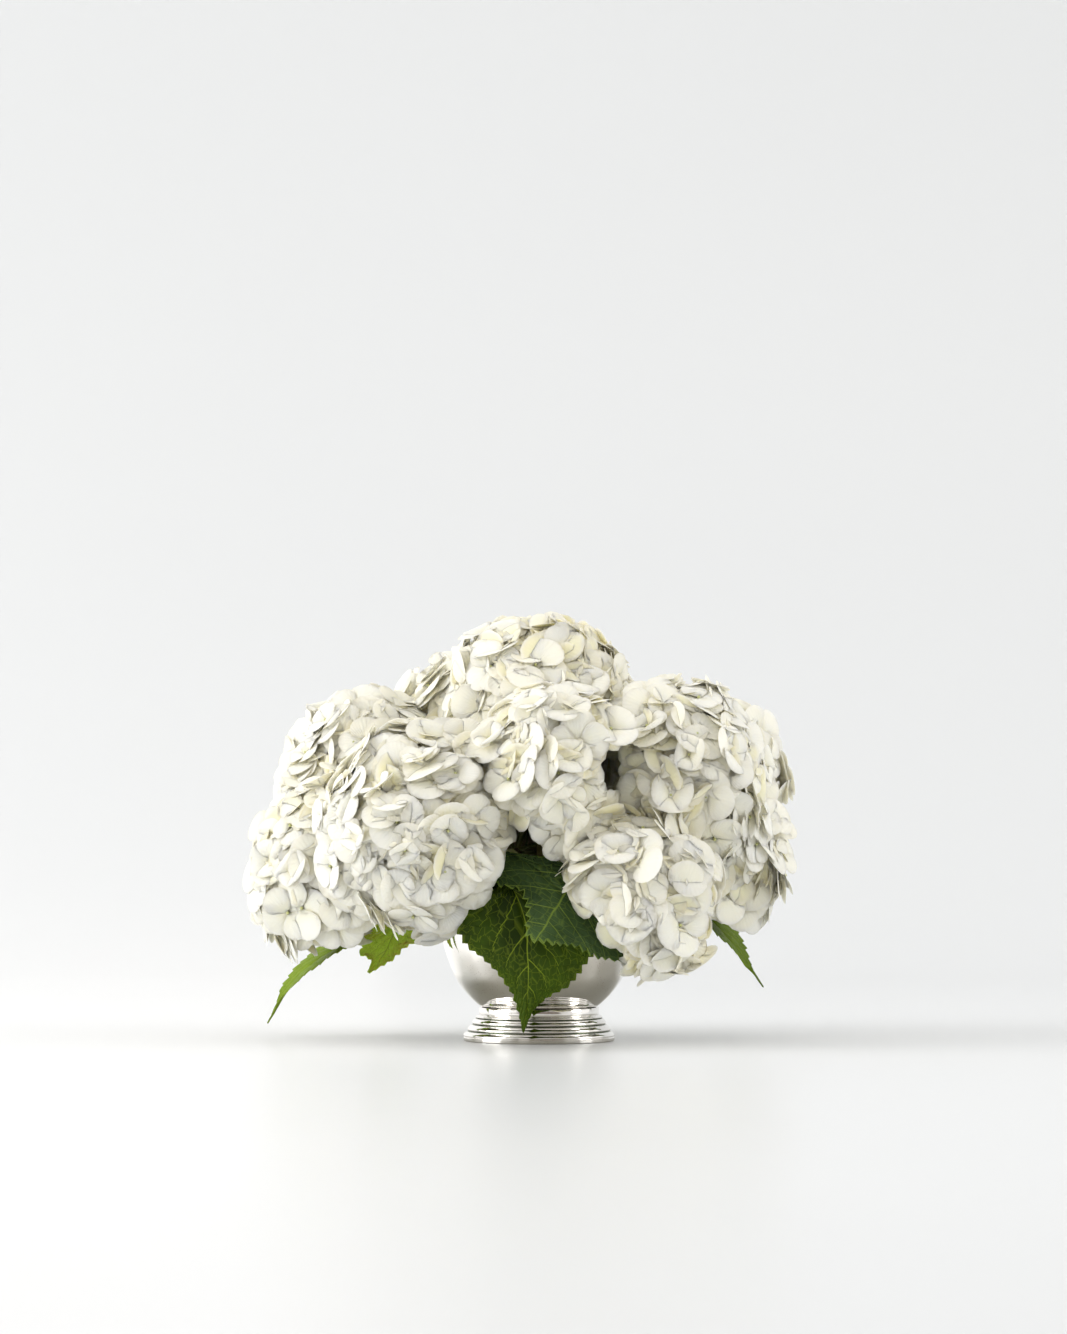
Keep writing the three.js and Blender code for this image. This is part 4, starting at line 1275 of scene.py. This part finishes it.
for i, (name, rows) in enumerate(florets.items()):
    made = rods("stalks_" + name, stalk_paths(name, rows, i), stalk_finish, 4)
    finish_piece(made, "stem", "bloom_" + name)

# %% [markdown]
# ## Floor sheet and light
# A pale sheet runs forward under the bowl and curves up behind it, so there is no horizon. Two
# soft lamps on the left are like the panes of a tall window, a weak one stands low in front, and
# one fills from the right. The world around is white, brighter on the left and dimmer in front,
# and low in front the silver mirrors a dim room.

# %% Floor sheet
SHEET_FRONT, SHEET_TOP, SHEET_HALF_WIDTH = -6.0, 6.0, 5.0
BEND_START, BEND_RADIUS = 0.9, 1.6
PALE_FLOOR, PALER_FLOOR = (0.765, 0.785, 0.803, 1), (0.785, 0.805, 0.823, 1)
# What the silver mirrors of the sheet is painted: shadow close round the foot, light on the window side.
MIRRORED_PAINTED_SHADOW, MIRRORED_LIT = (0.41, 0.40, 0.355, 1), (1.0, 1.0, 1.0, 1)


def sweep_sheet():
    bend = [(BEND_START + BEND_RADIUS * math.sin(a), BEND_RADIUS - BEND_RADIUS * math.cos(a))
            for a in np.linspace(0.05, math.pi / 2, 24)]
    profile = [(SHEET_FRONT, 0), (BEND_START, 0), *bend, (BEND_START + BEND_RADIUS, SHEET_TOP)]
    points = [(x, y, z) for y, z in profile for x in (-SHEET_HALF_WIDTH, SHEET_HALF_WIDTH)]
    faces = [(2 * i, 2 * i + 1, 2 * i + 3, 2 * i + 2) for i in range(len(profile) - 1)]
    return mesh_piece("floor_sheet", points, faces, floor_finish)


def mirrored_floor(tree):
    """How much of what a mirror sees replaces the floor's own colour, and that colour: a painted
    shadow, dim close round the foot, and painted light, white on the side that the windows light."""
    split = tree.nodes.new("ShaderNodeSeparateXYZ")
    tree.links.new(add(tree, "ShaderNodeTexCoord", out=3), split.inputs[0])
    flat = add(tree, "ShaderNodeCombineXYZ", {0: split.outputs[0], 1: split.outputs[1]})
    reach = add(tree, "ShaderNodeVectorMath", {
        0: flat, 1: (0.05, -0.04, 0.0)}, out=1, operation="DISTANCE")
    near = add(tree, "ShaderNodeMapRange", {0: reach, 1: 0.13, 2: 0.24, 3: 1.0, 4: 0.12})
    lit = add(tree, "ShaderNodeMapRange", {0: split.outputs[0], 1: -0.09, 2: -0.15, 3: 0.0, 4: 1.0})
    share = maths(tree, "MULTIPLY", add(tree, "ShaderNodeLightPath", out=3), maths(tree, "MAXIMUM", near, lit))
    return share, blend_colour(tree, lit, MIRRORED_PAINTED_SHADOW, MIRRORED_LIT)


def floor_recipe(tree):
    """Pale and plain to the camera; what the silver mirrors of it carries painted shadow and light.
    Its underside is clear, so that the flowers can also be looked at from behind.
    """
    place = add(tree, "ShaderNodeTexCoord", out=3)
    drift = group_out(tree, patches, {"Place": place, "Scale": 1.5, "Contrast": 0.8}, "Amount")
    own = blend_colour(tree, drift, PALE_FLOOR, PALER_FLOOR)
    share, mirrored = mirrored_floor(tree)
    return {
        "Base Color": blend_colour(tree, share, own, mirrored),
        "Roughness": 0.3,
        "Specular IOR Level": 0.3,
        "Alpha": maths(tree, "SUBTRACT", 1.0, add(tree, "ShaderNodeNewGeometry", out=6)),
    }


floor_finish = finish_material("pale_floor", floor_recipe)
sheet = sweep_sheet()
print(sheet.name)


# %% Light
# Each lamp's name, where it stands and points, its width and height, and its power in watts
DAYLIGHT, AMONG_HEADS = (1.0, 0.99, 0.97), (0, 0, 0.15)
LAMPS = [
    ("window_pane_near", (-2.6, -1.9, 1.7), AMONG_HEADS, (1.05, 2.2), 2),
    ("window_pane_far", (-2.9, -0.6, 1.3), AMONG_HEADS, (2.0, 2.4), 60),
    ("low_fill", (-1.3, -3.0, 0.5), (0, 0, 0.12), (0.9, 0.7), 1.0),
    ("fill_right", (2.8, -0.6, 1.3), AMONG_HEADS, (1.2, 1.6), 23),
]


def soft_light(name, place, target, size, power):
    lamp = bpy.data.lights.new(name, "AREA")
    lamp.shape, lamp.size, lamp.size_y = "RECTANGLE", size[0], size[1]
    lamp.energy, lamp.color = power, DAYLIGHT
    made = bpy.data.objects.new(name, lamp)
    bpy.context.scene.collection.objects.link(made)
    made.location = place
    made.rotation_mode = "QUATERNION"
    made.rotation_quaternion = (Vector(place) - Vector(target)).to_track_quat("Z", "Y")


for lamp in LAMPS:
    soft_light(*lamp)


WHITE_AROUND, WHITE_IN_FRONT = (0.985, 0.965, 0.94, 1), (0.43, 0.415, 0.395, 1)
DIM_ROOM, LIT_ROOM = (0.055, 0.043, 0.035, 1), (0.34, 0.30, 0.26, 1)


def room_around():
    """White all round, brighter to the left and dimmer in front. Low in front, a mirror sees a dim room."""
    world = bpy.data.worlds.new("studio")
    world.use_nodes = True
    tree = world.node_tree
    split = tree.nodes.new("ShaderNodeSeparateXYZ")
    tree.links.new(add(tree, "ShaderNodeTexCoord"), split.inputs[0])
    front = add(tree, "ShaderNodeMapRange", {0: split.outputs[1], 1: -0.70, 2: -0.80, 3: 0.0, 4: 1.0})
    height = maths(tree, "ABSOLUTE", split.outputs[2])
    low = add(tree, "ShaderNodeMapRange", {0: height, 1: 0.45, 2: 0.30, 3: 0.0, 4: 1.0})
    mirrored = add(tree, "ShaderNodeLightPath", out=3)
    dim = maths(tree, "MULTIPLY", maths(tree, "MULTIPLY", front, low), mirrored)
    way = split.inputs[0].links[0].from_socket
    clutter = add(tree, "ShaderNodeTexNoise", {"Vector": way, "Scale": 9.0, "Detail": 3.0})
    room = blend_colour(tree, clutter, DIM_ROOM, LIT_ROOM)
    shade = add(tree, "ShaderNodeMapRange", {0: split.outputs[1], 1: -0.1, 2: -0.9, 3: 0.0, 4: 1.0})
    white = blend_colour(tree, shade, WHITE_AROUND, WHITE_IN_FRONT)
    tree.links.new(blend_colour(tree, dim, white, room), tree.nodes["Background"].inputs[0])
    brighter_left = maths(tree, "MULTIPLY_ADD", split.outputs[0], -0.15, 1.25)
    tree.links.new(brighter_left, tree.nodes["Background"].inputs[1])
    return world


bpy.context.scene.world = room_around()
bpy.context.scene.view_settings.view_transform = "Standard"
print("lights and world ready")
